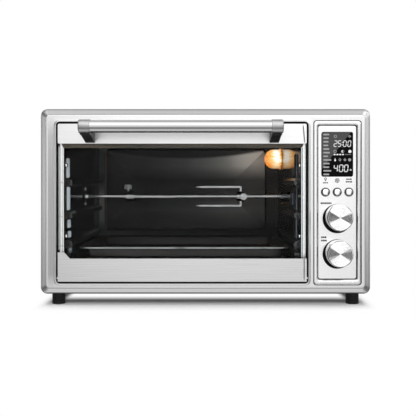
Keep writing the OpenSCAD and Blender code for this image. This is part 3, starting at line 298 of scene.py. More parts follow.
# %% [markdown]
# ## Lamps and floor
# One wide lamp overhead and one large soft lamp in front, as in a packshot. They are big, so shadows stay
# soft and gather only under the oven. The floor is a pale sheet that receives that shadow. It is left out of
# reflections, because the world already gives the metal its floor.

# %% Add the lamps and the floor
LAMP_SIZE = (2.4, 1.6)
FLOOR_HALF = 6


def soft_lamp(name, place, aim, watts):
    data = bpy.data.lights.new(name, "AREA")
    data.shape = "RECTANGLE"
    data.size, data.size_y = LAMP_SIZE
    data.energy = watts
    lamp = put_in_scene(bpy.data.objects.new(name, data))
    lamp.location = place
    lamp.rotation_euler = (Vector(aim) - Vector(place)).to_track_quat("-Z", "Y").to_euler()
    lamp.visible_glossy = lamp.visible_camera = False


soft_lamp("overhead_lamp", (0, 0.35, 1.9), (0, 0, 0), 34)
soft_lamp("front_lamp", (-0.4, -1.9, 1.9), (0, 0, 0.15), 15)
floor_mesh = bpy.data.meshes.new("floor")
corners = [(FLOOR_HALF * x, FLOOR_HALF * y, 0) for x, y in ((-1, -1), (1, -1), (1, 1), (-1, 1))]
floor_mesh.from_pydata(corners, [], [(0, 1, 2, 3)])
floor = put_in_scene(bpy.data.objects.new("floor", floor_mesh))
floor.visible_glossy = False
print("lamps and floor are in place")

# %% [markdown]
# ## Finishes
# A finish is one Principled shader whose colour, roughness and bump come from stretched noise. Noise that is
# drawn out along one axis reads as the brush lines of rolled steel; short noise reads as the grain of
# moulded plastic or the flow of enamel. The noise is placed by object coordinates, in metres, so the lines
# keep their real size.

# %% Tools for the finishes
NOISE_SPAN = (0.3, 0.7)


def finish_of(name, **sockets):
    made = bpy.data.materials.new(name)
    made.use_nodes = True
    tree = made.node_tree
    shader = tree.nodes["Principled BSDF"].inputs
    for socket, value in sockets.items():
        shader[socket.replace("_", " ")].default_value = value
    return made, shader, coords_of(tree)


def grain(coords, scale):
    mapping = node_of(coords.id_data, "ShaderNodeMapping")
    mapping.inputs["Scale"].default_value = (scale,) * 3 if isinstance(scale, int) else scale
    feed(coords, mapping.inputs["Vector"])
    noise = wired("ShaderNodeTexNoise", mapping.outputs[0])["Fac"]
    noise.node.inputs["Scale"].default_value = 1
    noise.node.inputs["Detail"].default_value = 4
    return noise


def between(factor, dark, light):
    return ramp_of(factor, list(zip(NOISE_SPAN, (dark, light))))


def roughen(shader, factor, low, high):
    feed(share_of(factor, *NOISE_SPAN, (low, high)), shader["Roughness"])


def dress(shader, factor, dark, light, rough, bump_mm=0.0):
    feed(between(factor, dark, light), shader["Base Color"])
    roughen(shader, factor, *rough)
    if bump_mm:
        bump = node_of(factor.id_data, "ShaderNodeBump")
        bump.inputs["Distance"].default_value = bump_mm * MM
        feed(factor, bump.inputs["Height"])
        feed(bump.outputs[0], shader["Normal"])


# Multiplies painted light and shade into a finish's colour.
def multiply_painted_light(shader, tint):
    plain = shader["Base Color"].links[0].from_socket
    feed(mix_of(1, plain, tint, blend="MULTIPLY"), shader["Base Color"])


def swap_surface(factor, other):
    """Where the factor is 1, another shader takes the place of the finish."""
    tree_nodes = factor.id_data.nodes
    blend = either(factor, tree_nodes["Principled BSDF"].outputs[0], other.outputs[0])
    feed(blend, tree_nodes["Material Output"].inputs["Surface"])


def coat(name, dark, light, rough, scale, bump_mm=0.0, **sockets):
    made, shader, coords = finish_of(name, **sockets)
    dress(shader, grain(coords, scale), dark, light, rough, bump_mm)
    return made


def metal(*values):
    return coat(*values, Metallic=1.0)


print("noise is spread over", NOISE_SPAN)

# %% [markdown]
# ## The front sheet's steel
# The frame is brushed along each of its four sides, so its lines turn at the mitres: a mask compares the
# distance to the upright edge with the distance to the level one and picks the noise. The folds, the left
# strip and the lowest edge mirror other things than the flat face does, so painted shade and painted
# reflection are multiplied into their colour, by facing and by height.

# %% Make the frame's steel
# Painted shade and painted reflection in the frame's colour: by facing on the folds, by height on the left
# strip and at the lowest edge.
FOLD_PAINTED_SHADE = [
    (0, 0.12), (0.22, 0.15), (0.262, 1), (0.66, 1), (0.715, 0.42), (0.8, 0.42), (0.9, 0.26), (1, 0.38),
]
LEFT_PAINTED_LIGHT = [(0, 1), (0.04, 0.95), (0.11, 0.6), (0.6, 0.58), (0.85, 0.68), (0.92, 0.88), (0.96, 1)]
FOOT_PAINTED_SHADE = [(0, 0.9), (0.04, 0.9), (0.047, 1)]
STRIP_MID, STRIP_HALF = (rail_lo[0] - 10.2) * MM, 4.3 * MM
COLUMN_X, LEVEL_BAND = (rail_hi[0] + 1) * MM, 12 * MM
FLAT_FACING = -0.96
ALONG_X, ALONG_Z = (5, 60, 1500), (1500, 60, 5)


def frame_steel():
    made, shader, coords = finish_of("frame_brushed_steel", Metallic=1.0)
    place, facing = xyz_of(coords), facing_of(coords.id_data)
    low, high = frame_lo[2] * MM, frame_hi[2] * MM
    to_side = minus(frame_hi[0] * MM, size_of(place["X"]))
    to_level = minus((high - low) / 2, size_of(minus(place["Z"], (high + low) / 2)))
    in_column = product(over(place["X"], COLUMN_X), over(to_level, LEVEL_BAND))
    upright = highest(over(to_level, to_side), in_column)
    brushed = mix_of(upright, grain(coords, ALONG_X), grain(coords, ALONG_Z), "FLOAT")
    dress(shader, brushed, 0.8, 0.94, (0.24, 0.36), 0.012)
    up = share_of(place["Z"], low, high)
    in_strip = math_of("COMPARE", place["X"], STRIP_MID, STRIP_HALF)
    on_left = product(in_strip, math_of("LESS_THAN", facing["Y"], FLAT_FACING))
    left = mix_of(on_left, 1, ramp_of(up, LEFT_PAINTED_LIGHT), "FLOAT")
    multiply_painted_light(shader, product(ramp_of(halved(facing["Z"]), FOLD_PAINTED_SHADE), left, ramp_of(up, FOOT_PAINTED_SHADE)))
    return made


FINISH = {"casing_steel": frame_steel()}
print("front sheet:", len(FINISH["casing_steel"].node_tree.nodes), "nodes")

# %% [markdown]
# ## Steel, chrome, enamel and plastic
# Turned metal on the knobs is toned in rings round its axis. The handle carries painted shade: its colour is
# darker on the half that faces the front. All other finishes differ only in two tones, a range of roughness,
# the stretch of the noise and the depth of the bump in mm, so they are rows of a table; some of those rows
# are painted light or shade as well. A tone of three numbers is a colour, a single one is a grey.

# %% Make the metals and coatings
RING_NOISE = 2600
FRONT_PAINTED_SHADE = [(0.4, 0.6), (0.6, 1)]


def turned_metal():
    made, shader, coords = finish_of("knob_turned_metal", Metallic=1.0)
    rings = node_of(coords.id_data, "ShaderNodeTexNoise", noise_dimensions="1D")
    rings.inputs["Scale"].default_value = RING_NOISE
    feed(length_of(seen_from_front(coords)), rings.inputs["W"])
    dress(shader, rings.outputs["Fac"], 0.95, 1, (0.1, 0.14))
    return made


def handle_steel():
    made, shader, coords = finish_of("handle_polished_steel", Metallic=1.0)
    dress(shader, grain(coords, (6, 900, 900)), 0.92, 1, (0.1, 0.16))
    # Painted shade: the half of the tube that faces the front is darker.
    multiply_painted_light(shader, ramp_of(halved(facing_of(coords.id_data)["Y"]), FRONT_PAINTED_SHADE))
    return made


METALS = {
    "wrap_steel": (0.56, 0.68, (0.3, 0.42), (1200, 5, 1200), 0.01),
    "door_steel": (0.86, 0.96, (0.26, 0.38), (6, 60, 1500), 0.012),
    "low_rail_steel": (0.66, 0.82, (0.26, 0.38), (9, 60, 900), 0.012),
    "panel_steel": (0.93, 1, (0.24, 0.32), (6, 60, 1600), 0.006),
    "surround_chrome": (0.86, 0.94, (0.2, 0.28), (300, 300, 6)),
    "liner_steel": (0.92, 1, (0.2, 0.3), (1400, 60, 8), 0.01),
    "ferrule_metal": (0.4, 0.5, (0.28, 0.36), (500, 60, 60), 0.006),
    "knob_side": (0.7, 0.86, (0.12, 0.22), (900, 20, 900)),
    "button_chrome": (0.9, 0.98, (0.1, 0.14), 300),
    # Dark metal for the buttons' rings: painted shade of the gap round each cap.
    "ring_painted_shade": (0.1, 0.16, (0.12, 0.2), 300),
    "spit_chrome": (0.3, 0.44, (0.07, 0.12), (40, 300, 300)),
    "collar_steel": (0.6, 0.78, (0.16, 0.26), 300),
    "guide_dull": ((0.16, 0.19, 0.23), (0.34, 0.38, 0.44), (0.25, 0.4), (200, 200, 30)),
    "screw_steel": (0.82, 0.94, (0.14, 0.24), 500),
    "motor_metal": (0.42, 0.55, (0.35, 0.5), 90, 0.02),
    "element_sheath": (0.1, 0.2, (0.35, 0.5), (120, 400, 400), 0.01),
    "brass": ((0.62, 0.4, 0.16), (0.8, 0.55, 0.26), (0.2, 0.3), 200),
    "pan_rim": (0.3, 0.55, (0.25, 0.4), (60, 200, 200)),
}
COATS = {
    # A pale coat for the left guides: painted highlight.
    "guide_painted_highlight": ((0.8, 0.86, 0.93), (0.9, 0.95, 1), (0.2, 0.3), (300, 300, 12)),
    "dark_sheet": (0.03, 0.045, (0.45, 0.6), 700, 0.02),
    "chamber_coating": (0.003, 0.006, (0.06, 0.1), 60),
    "wall_enamel": (0.002, 0.004, (0.06, 0.1), 60),
    "rib_enamel": (0.006, 0.012, (0.12, 0.18), 120),
    "groove_enamel": (0.002, 0.005, (0.3, 0.4), 120),
    # Black for the door gap, the rail creases and the ring under each knob: painted shade.
    "gasket_black": (0.003, 0.006, (0.6, 0.7), 300),
    "lip_painted_shade": ((0.05, 0.04, 0.028), (0.13, 0.1, 0.07), (0.3, 0.42), (14, 300, 300)),
    # Brown for the bead's left side and the end of the mouth's fold: painted warm reflection.
    "warm_painted_reflection": ((0.1, 0.05, 0.025), (0.22, 0.12, 0.06), (0.25, 0.4), (200, 200, 20)),
    "pan_coating": ((0.012, 0.009, 0.008), (0.02, 0.016, 0.015), (0.22, 0.3), 500),
    "white_ceramic": (0.68, 0.8, (0.3, 0.45), 200, 0.01),
    "board_plastic": ((0.01, 0.06, 0.025), (0.02, 0.1, 0.04), (0.4, 0.55), 300),
    "black_plastic": (0.008, 0.016, (0.4, 0.52), 900, 0.012),
    "foot_rubber": (0.004, 0.009, (0.5, 0.65), 600, 0.02),
    "pot_gloss": (0.004, 0.008, (0.25, 0.35), 400),
    "print_ink": (0.012, 0.03, (0.5, 0.6), 900),
    "pane_edge": ((0.2, 0.3, 0.36), (0.34, 0.46, 0.54), (0.12, 0.2), (60, 60, 400)),
}
REFRACTION = {"chamber_coating": 1.25, "wall_enamel": 1.28, "rib_enamel": 1.7}
SPECULAR = {"groove_enamel": 0.15, "gasket_black": 0.1, "pan_coating": 0.16, "foot_rubber": 0.25}
FINISH |= {"handle_chrome": handle_steel(), "knob_metal": turned_metal()}
FINISH |= {name: metal(name, *values) for name, values in METALS.items()}
FINISH |= {name: coat(name, *values) for name, values in COATS.items()}
for socket, levels in (("IOR", REFRACTION), ("Specular IOR Level", SPECULAR)):
    for name, level in levels.items():
        FINISH[name].node_tree.nodes["Principled BSDF"].inputs[socket].default_value = level
print("finishes:", len(FINISH))

# %% [markdown]
# ## The floor's finish
# A pale matt sheet, a touch uneven as paper is, so that the shadow under the oven fades softly into it. A
# packshot floor runs out to pure white. Lamps could light it so, but those would also light the oven, so away
# from its footprint the sheet simply shows the camera plain white. Under the oven, behind the front feet, the
# sheet shows plain white too, a painted light, so the shadow is only a band along the front feet.

# %% Dress the floor
HALF_WIDTH, FRONT_EDGE, BACK_EDGE = frame_hi[0] * MM, FACE_Y * MM, 0.2
SIDE_INSET, SIDE_RATE = 0.012, 2.5
WHITE_BEYOND, PAINTED_LIGHT_BEHIND, PAINTED_LIGHT_INSET = (-0.004, 0.05), (0.032, 0.077), (0.021, 0.034)
SOFT_STEP = "SMOOTHSTEP"
FLOOR = coat("pale_paper_floor", 0.9, 0.94, (0.7, 0.8), 3, Specular_IOR_Level=0.0)
tree = FLOOR.node_tree
spot, paths = xyz_of(coords_of(tree)), paths_of(tree)
aside = size_of(spot["X"])
beyond_side = product(minus(aside, HALF_WIDTH - SIDE_INSET), SIDE_RATE)
beyond = highest(beyond_side, minus(FRONT_EDGE, spot["Y"]), minus(spot["Y"], BACK_EDGE))
# Painted light: behind the front feet and inside the sides, the floor under the oven shows plain white.
painted_light_band = share_of(minus(spot["Y"], FRONT_EDGE), *PAINTED_LIGHT_BEHIND, kind=SOFT_STEP)
inside = share_of(minus(HALF_WIDTH, aside), *PAINTED_LIGHT_INSET, kind=SOFT_STEP)
pale = highest(share_of(beyond, *WHITE_BEYOND, kind=SOFT_STEP), product(painted_light_band, inside))
seen = highest(paths["Is Camera Ray"], paths["Is Transmission Ray"])
swap_surface(product(pale, seen), node_of(tree, "ShaderNodeEmission"))
floor.data.materials.append(FLOOR)
print("floor dressed")

# %% [markdown]
# ## Glass and lights
# The door pane is clear tempered glass with a weak reflection, so the chamber stays visible. Light from lamps
# and matt surfaces passes it straight, as if it weren't there, because bending that light too would only add
# noise. The display is black glass with a paler half above a diagonal, a painted reflection, and its marks
# glow a little. The lamp's cover is ribbed glass lit from behind, which a warm emission stands for, because a
# real bulb behind it would be noisy as well.

# %% Make the glass and the lit finishes
PAINTED_SHEEN_SLOPE, PAINTED_SHEEN_START, PAINTED_SHEEN_BLUR = 1.276, 2.9, 0.0004
LAMP_BANDS = [
    (0, (0.38, 0.1, 0.02)), (0.1, (0.72, 0.26, 0.05)), (0.3, (0.9, 0.43, 0.12)), (0.48, (1, 0.64, 0.28)),
    (0.6, (1, 0.94, 0.78)), (0.84, (1, 0.97, 0.88)), (0.9, (0.9, 0.52, 0.18)), (1, (0.5, 0.2, 0.05)),
]
LAMP_FALL = [(0, (0.3, 0.15, 0.06)), (0.22, (0.8, 0.6, 0.38)), (0.45, 1), (0.8, 1), (1, (0.5, 0.34, 0.2))]
LAMP_BASE = [(0, (0.1, 0.04, 0.01)), (1, (0.2, 0.1, 0.03))]
BAND_WANDER = 0.7
lens_lo, lens_hi = span("lamp_lens")


def door_pane_glass():
    made, shader, coords = finish_of("door_pane_glass", Transmission_Weight=1.0, IOR=1.12, Roughness=0.0)
    tint = between(grain(coords, (6, 6, 14)), (0.94, 0.96, 0.96), (0.97, 0.98, 0.98))
    feed(tint, shader["Base Color"])
    clear = node_of(coords.id_data, "ShaderNodeBsdfTransparent")
    feed(tint, clear.inputs["Color"])
    paths = paths_of(coords.id_data)
    swap_surface(highest(paths["Is Shadow Ray"], paths["Is Diffuse Ray"]), clear)
    return made


def display_glass():
    made, shader, coords = finish_of("display_black_glass", Specular_IOR_Level=0.04)
    place = xyz_of(coords)
    # The paler half above the diagonal is a painted reflection.
    rise = product(minus(place["X"], (screen_hi[0] - PAINTED_SHEEN_START) * MM), PAINTED_SHEEN_SLOPE)
    pale = share_of(minus(minus(place["Z"], screen_hi[2] * MM), rise), -PAINTED_SHEEN_BLUR, PAINTED_SHEEN_BLUR)
    feed(ramp_of(pale, [(0, 0.003), (1, 0.085)]), shader["Base Color"])
    roughen(shader, grain(coords, 200), 0.16, 0.22)
    return made


def lamp_glass():
    """Glass lit from inside: a white-hot middle, amber to the tip and the flange, streaked by its ribs."""
    made, shader, coords = finish_of("lamp_ribbed_glass", Roughness=0.15, Emission_Strength=1.3)
    place = xyz_of(coords)
    along, up = (share_of(place["XYZ"[i]], lens_lo[i] * MM, lens_hi[i] * MM) for i in (0, 2))
    wander = math_of("MULTIPLY_ADD", grain(coords, (30, 420, 420)), BAND_WANDER, along)
    bands = ramp_of(minus(wander, BAND_WANDER / 2), LAMP_BANDS)
    feed(mix_of(1, bands, ramp_of(up, LAMP_FALL), blend="MULTIPLY"), shader["Emission Color"])
    feed(ramp_of(up, LAMP_BASE), shader["Base Color"])
    return made


def glow(name, dark, light, strength, scale):
    made, shader, coords = finish_of(name, Roughness=0.4, Emission_Strength=strength)
    tint = between(grain(coords, scale), dark, light)
    for socket in ("Emission Color", "Base Color"):
        feed(tint, shader[socket])
    return made


FINISH |= {
    "door_glass": door_pane_glass(),
    "display_glass": display_glass(),
    "lamp_glass": lamp_glass(),
    "bulb_glass": glow("bulb_warm_glass", (1, 0.7, 0.4), (1, 0.85, 0.6), 2, 80),
    "lit_mark": glow("display_lit_mark", (0.6, 0.61, 0.62), (0.72, 0.73, 0.74), 0.35, 700),
    "dim_mark": glow("display_dim_mark", 0.1, 0.16, 0.3, 700),
    "soft_mark": glow("display_soft_mark", 0.22, 0.34, 0.3, 700),
}
print("finishes:", len(FINISH))

# %% [markdown]
# ## Dress the solids that stay
# Most solids already have the right shape. They keep it and take their finish by the slot that the record
# names for them. CAD edges are knife sharp, which no pressed sheet is, so a stack of modifiers rounds them:
# Weld joins the triangles, a planar Decimate turns them back into faces, Bevel rounds the edges and Weighted
# Normal keeps flats flat. The wound springs skip this, as all of their facets would be taken for edges.

# %% Put a finish and soft edges on each node
PLAIN_EDGE = 0.25
SOFT_EDGE = {
    "control_panel": 0.7, "door_top_rail": 0.9, "door_bottom_rail": 0.9, "handle_arms": 1, "feet": 0.3,
    "cord_bushing": 0.8, "rear_spacers": 1, "handle_ferrules": 2.4,
}
OWN_FINISH = {
    "outer_wrap": "wrap_steel", "left_rack_ribs": "rib_enamel", "right_rack_ribs": "rib_enamel",
    "chamber_right_wall": "wall_enamel", "door_bottom_rail": "low_rail_steel",
}
FACETED = ("door_springs",)
WELD_REACH, FLAT_ANGLE, EDGE_ANGLE = 1e-6, math.radians(0.6), math.radians(32)


def modify(obj, name, kind, **values):
    made = obj.modifiers.new(name, kind)
    for key, value in values.items():
        setattr(made, key, value)


def keep_flats(obj):
    modify(obj, "flat_faces", "WEIGHTED_NORMAL")


def round_edges(obj, width_mm):
    modify(obj, "join_triangles", "WELD", merge_threshold=WELD_REACH)
    modify(obj, "whole_faces", "DECIMATE", decimate_type="DISSOLVE", angle_limit=FLAT_ANGLE)
    modify(
        obj, "round_edges", "BEVEL", width=width_mm * MM, segments=2, limit_method="ANGLE",
        angle_limit=EDGE_ANGLE
    )
    keep_flats(obj)


slot_of = {part["node"]: part["material_slot"] for part in frame["record"]["subparts"]}
for name, obj in nodes.items():
    obj.data.materials.clear()
    obj.data.materials.append(FINISH[OWN_FINISH.get(name, slot_of[name])])
    if name not in FACETED:
        round_edges(obj, SOFT_EDGE.get(name, PLAIN_EDGE))
print("dressed nodes:", len(nodes), "edges are rounded by", PLAIN_EDGE, "mm unless a node says more")

# %% [markdown]
# ## A small kit for sheet metal
# The finer pieces are drawn as rings of points that are skinned together, which is how a pressed or turned
# part is described on a drawing: one section, carried round a path. `Sheet` gathers the rings and faces,
# `piece` turns them into an object that rides on its CAD body. Modelling by hand would be looser, and would
# not follow the CAD sizes. A box is left, right, low and high here, an outline is flat, and `at` sets it at
# a level along x, y or z.

# %% Tools for the meshes
X, Y, Z = range(3)
ARC_STEPS = 7


class Sheet:
    """Points, faces, and for each face the mark of its finish."""

    def __init__(self, rows=(), *how, **ends):
        self.points, self.faces, self.marks = [], [], []
        self.loft(rows, *how, **ends)

    def ring(self, points):
        start = len(self.points)
        self.points += [tuple(p) for p in points]
        return list(range(start, len(self.points)))

    def face(self, corners, mark=0):
        self.faces.append(tuple(corners))
        self.marks.append(mark)

    def loft(self, rows, marks=0, lids=(), closed=True):
        """Skin each row of points to the next. There is one mark, or one for each strip."""
        rings = [self.ring(row) for row in rows]
        marks = [marks] * len(rings[1:]) if isinstance(marks, int) else marks
        for a, b, mark in zip(rings, rings[1:], marks):
            for i in range(len(a) if closed else len(a) - 1):
                j = (i + 1) % len(a)
                self.face((a[i], a[j], b[j], b[i]), mark)
        for end in lids:
            self.face(rings[end], marks[end])
        return rings


def piece(name, sheet, finishes, replaced=(), body="casing", origin=(0, 0, 0), angle=35):
    base = Vector(origin)
    mesh = bpy.data.meshes.new(name)
    mesh.from_pydata([(Vector(p) - base) * MM for p in sheet.points], [], sheet.faces)
    for finish in finishes:
        mesh.materials.append(FINISH[finish])
    mesh.polygons.foreach_set("material_index", sheet.marks)
    work = bmesh.new()
    work.from_mesh(mesh)
    bmesh.ops.recalc_face_normals(work, faces=work.faces)
    work.to_mesh(mesh)
    work.free()
    mesh.shade_smooth()
    mesh.set_sharp_from_angle(angle=math.radians(angle))
    obj = put_in_scene(bpy.data.objects.new(name, mesh))
    obj.location = base * MM
    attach(obj, body)
    if replaced:
        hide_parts(*replaced)
    return obj


def at(axis, level, outline):
    return [(*p[:axis], level, *p[axis:]) for p in outline]


def on_circle(r, degrees):
    return r * math.cos(math.radians(degrees)), r * math.sin(math.radians(degrees))


def square(box):
    x0, x1, z0, z1 = box
    return [(x0, z0), (x1, z0), (x1, z1), (x0, z1)]


def round_rect(box, r, steps=ARC_STEPS):
    points = []
    for k, (x, z) in enumerate(square((box[0] + r, box[1] - r, box[2] + r, box[3] - r))):
        arc = [on_circle(r, 180 + 90 * (k + i / steps)) for i in range(steps + 1)]
        points += [(x + dx, z + dz) for dx, dz in arc]
    return points[steps + 1:] + points[:steps + 1]


def grown(box, d):
    return box[0] - d, box[1] + d, box[2] - d, box[3] + d


def side_box(lo, hi, across=X, up=Z):
    return lo[across], hi[across], lo[up], hi[up]


def middle_of(lo, hi):
    return [(a + b) / 2 for a, b in zip(lo, hi)]


def turned(profile, centre, axis, count, ripple=None):
    """Rings of a turned part: profile holds (radius, way along the axis) in mm."""
    rows = []
    for radius, along in profile:
        turns = [360 * i / count for i in range(count)]
        flat = [on_circle(radius + (ripple(a, radius, along) if ripple else 0), a) for a in turns]
        rows.append([[p + q for p, q in zip(centre, point)] for point in at(axis, along, flat)])
    return rows


print("the kit is ready")

# %% [markdown]
# ## The front frame
# The real frame is one deep-drawn sheet: a fold over the casing, a wide bevel, a fine raised bead, the flat
# face, and a rolled edge round the door opening. The CAD solid has the bevel but mitred corners. Here the
# section is carried round the rounded outline, so the bevel turns the corner. The flat face is webbed
# between the rings: one web round the door opening, one round the panel's cut-out, meeting on an upright
# line between the two.

# %% Build the front frame
RIM_SECTION = [
    (0, 24, 10), (0, 6.4, 10), (0.35, 5.6, 9.8), (1.3, 4.5, 9.3), (3.5, 3.35, 8), (6.3, 1.95, 6.6),
    (8.5, 0.85, 5.4), (8.8, 0.6, 5.2), (9, 0.15, 5), (9.3, 0, 4.9), (11, 0, 4.3), (12.2, 0, 4),
]
ROLL_SECTION = [
    (3.6, 0), (3.1, -0.08), (2.4, -0.6), (1.5, -0.95), (0.7, -0.7), (0.15, 0), (0, 0.8), (0, 1.6), (0, 13),
]
# The last two strips of the roll, which turn down into the door gap, take the black of painted shade.
ROLL_MARKS = [0] * 6 + [1] * 2
CUT_SECTION = [(0.45, 0), (0.1, 0.12), (0, 0.45), (0, 3)]
OPENING_R, CUT_R = 5, 4.5
SHADOW_GAP = 0.4
ARC = ARC_STEPS + 1
door_box = (rail_lo[0], rail_hi[0], low_rail_lo[2], rail_hi[2])
opening = grown(door_box, DOOR_GAP)
rim_box, surround_box = side_box(frame_lo, frame_hi), side_box(rim_lo, rim_hi)
SPLIT_X = (opening[1] + rim_lo[0]) / 2 + 1


def web(sheet, outer, hole):
    """Flat faces between four outer corners, of one point or a whole arc each, and a rounded hole."""
    inner = [hole[ARC * k:ARC * (k + 1)] for k in range(4)]
    for k in range(4):
        o, h, ahead = outer[k], inner[k], (k + 1) % 4
        for i in range(ARC_STEPS):
            sheet.face((o[0], h[i + 1], h[i]) if len(o) == 1 else (o[i], o[i + 1], h[i + 1], h[i]))
        sheet.face((o[-1], outer[ahead][0], inner[ahead][0], h[-1]))


def split_outline(box, r):
    arcs = round_rect(box, r)
    return arcs[:2 * ARC] + [(SPLIT_X, box[3])] + arcs[2 * ARC:] + [(SPLIT_X, box[2])]


sheet = Sheet()
cut_box = grown(surround_box, SHADOW_GAP)
rim = sheet.loft([at(Y, FACE_Y + y, split_outline(grown(rim_box, -d), r)) for d, y, r in RIM_SECTION])
roll = sheet.loft(
    [at(Y, FACE_Y + y, round_rect(grown(opening, d), OPENING_R + d)) for d, y in ROLL_SECTION], ROLL_MARKS
)
cut = sheet.loft([at(Y, FACE_Y + y, round_rect(grown(cut_box, d), CUT_R + d)) for d, y in CUT_SECTION])
edge = rim[-1]
top, low = [edge[2 * ARC]], [edge[-1]]
right_low, right_top = edge[:ARC], edge[ARC:2 * ARC]
left_top, left_low = edge[2 * ARC + 1:3 * ARC + 1], edge[3 * ARC + 1:-1]
web(sheet, [low, top, left_top, left_low], roll[0])
web(sheet, [right_low, right_top, top, low], cut[0])
finishes = ["casing_steel", "gasket_black"]
front = piece("front_frame_sheet", sheet, finishes, ["front_frame"], angle=40)
keep_flats(front)
print("front frame faces:", len(front.data.polygons))

# %% [markdown]
# ## The panel surround
# A chromed frame holds the control plate. Outside it a narrow joint shows against the front sheet, inside it
# a darker one against the plate, and between them runs a flat-topped bead with rounded shoulders. A bevelled
# CAD ring lacks that bead, so its section is carried here from the outer rectangle to the plate's, with
# black floors in both joints.

# %% Build the panel surround
PLATE_GAP = 1.1
BEAD_R, BEAD_R_LOSS, BEAD_STEPS = 4.6, 0.9, 9
SURROUND_SECTION = [
    (-0.1, 1.9, 1), (0.04, 1.9, 1), (0.05, 0.5, 0), (0.07, -0.1, 0), (0.11, -0.45, 0), (0.17, -0.6, 0),
    (0.76, -0.6, 0), (0.83, -0.48, 0), (0.9, -0.05, 0), (0.95, 0.5, 0), (0.98, 1.2, 0), (0.99, 1.6, 1),
    (1, 3.6, 1), (1.3, 3.6, 1),
]
inner_box = grown(side_box(panel_lo, panel_hi), PLATE_GAP)
rows = []
for share, y, mark in SURROUND_SECTION:
    box = [a + (b - a) * share for a, b in zip(surround_box, inner_box)]
    rows.append(at(Y, FACE_Y + y, round_rect(box, BEAD_R - BEAD_R_LOSS * share, BEAD_STEPS)))
sheet = Sheet(rows, [mark for share, y, mark in SURROUND_SECTION[1:]])
finishes = ["surround_chrome", "black_plastic"]
piece("panel_surround_bead", sheet, finishes, ["panel_surround"], angle=50)
print("surround", [round(b - a, 1) for a, b in zip(rim_lo, rim_hi)], "mm")

# %% [markdown]
# ## The knobs
# Each knob is a turned metal cap on a black core. The cap's face is cut by a tool that circles its axis and
# leaves fine grooves, whose flanks throw light out along the radius, so the face shines in two fans.
# Anisotropy in the finish would imitate that; here the grooves are real, 0.6 mm apart. Behind each knob lies
# a black ring on the plate, set a little low: a painted shadow, which shows as the dark crescent under the
# cap.

# %% Build the knobs
CAP_HIGH = 22.8
KNOB_SIDES, RING_SIDES = 96, 72
KNOB_SECTION = [
    (0.3, 0), (16.6, 0), (17.2, 0.4), (17.2, 2.6), (18.4, 2.9), (18.9, 3.4), (19, 4.2), (18.8, 20),
    (18.6, 21.2), (18.2, 22), (17.7, 22.55), (17.2, CAP_HIGH),
]
CORE_STRIPS, SIDE_STRIPS = 3, 7
GROOVES, GROOVE, GROOVE_DEPTH, FIRST_GROOVE = 27, 0.6, 0.09, 17.0
LAND, VALLEY = 0.06, 0.53
for k in range(GROOVES):
    r = FIRST_GROOVE - GROOVE * k
    land, valley = r - LAND * GROOVE, r - VALLEY * GROOVE
    KNOB_SECTION += [(r, CAP_HIGH), (land, CAP_HIGH), (valley, CAP_HIGH - GROOVE_DEPTH)]
KNOB_SECTION.append((0.4, CAP_HIGH))
FACE_STRIPS = len(KNOB_SECTION) - 1 - CORE_STRIPS - SIDE_STRIPS
KNOB_MARKS = [0] * CORE_STRIPS + [2] * SIDE_STRIPS + [1] * FACE_STRIPS
# The black ring on the plate is a painted shadow of the knob.
RING_R, RING_HOLE, RING_EDGE, RING_LOW, RING_SKIN = 21.3, 9, 0.4, 2.3, 0.12
RING_SECTION = [(RING_HOLE, -RING_SKIN), (RING_R - RING_EDGE, -RING_SKIN), (RING_R, 0)]


def build_knob(name, body):
    lo, hi = span(body)
    x, _, z = middle_of(lo, hi)
    centre = (x, hi[1], z)
    sheet = Sheet(turned([(r, -h) for r, h in KNOB_SECTION], centre, Y, KNOB_SIDES), KNOB_MARKS, (0, -1))
    piece(name, sheet, ["pot_gloss", "knob_metal", "knob_side"], [body], body, centre, angle=10)
    sheet = Sheet(turned(RING_SECTION, (x, panel_lo[1], z - RING_LOW), Y, RING_SIDES))
    piece(name + "_ring", sheet, ["gasket_black"])


for name in ("function_knob", "time_knob"):
    build_knob(name + "_turned", name)
print("knobs are", KNOB_SECTION[6][0] * 2, "mm over the cap")

# %% [markdown]
# ## The push buttons
# A button is a nearly flat bright cap in a ring whose dark colour is painted shade of the gap round the cap.
# One turned section holds the stem, the flange behind the panel, the ring and the cap, and its faces take one
# of two finishes by their place in the section.

# %% Build the buttons
BUTTONS = ("light_button", "fan_button", "start_button")
STEM_R, BUTTON_SIDES = 2.5, 40
BUTTON_SECTION = [
    (STEM_R, 5.1), (7.6, 5.1), (7.6, 3.7), (6.2, 3.7), (6.2, 0.8), (6, 0.35), (5.6, 0.12), (5.2, 0.3),
    (5, 0.9), (4.85, 0.9), (4.75, 0.4), (4.45, 0.14), (3, 0.08), (1.6, 0.06), (0.3, 0.05),
]
BUTTON_MARKS = [0] * 11 + [1] * 5
button_x = []
for name in BUTTONS:
    lo, hi = span(name)
    x, _, z = middle_of(lo, hi)
    button_x.append(x)
    deep = hi[1] - lo[1]
    section = [(0.3, deep), (STEM_R, deep)] + BUTTON_SECTION
    sheet = Sheet(turned(section, (x, lo[1], z), Y, BUTTON_SIDES), BUTTON_MARKS, (0, -1))
    piece(name + "_cap", sheet, ["ring_painted_shade", "button_chrome"], [name], name, angle=50)
print("buttons at x =", [round(x, 1) for x in button_x])

# %% [markdown]
# ## The display's marks
# Behind the black glass sit a column of lit bars, two readouts and small symbols. The readouts are
# seven-segment digits, built from six-sided strokes as on a real module, and the symbols are rings, diamonds
# and dots. A picture on the glass would blur close up, so all of it is one thin mesh just in front. `Print`
# is a sheet for such marks: it places them in mm from the upper left corner of a plate.

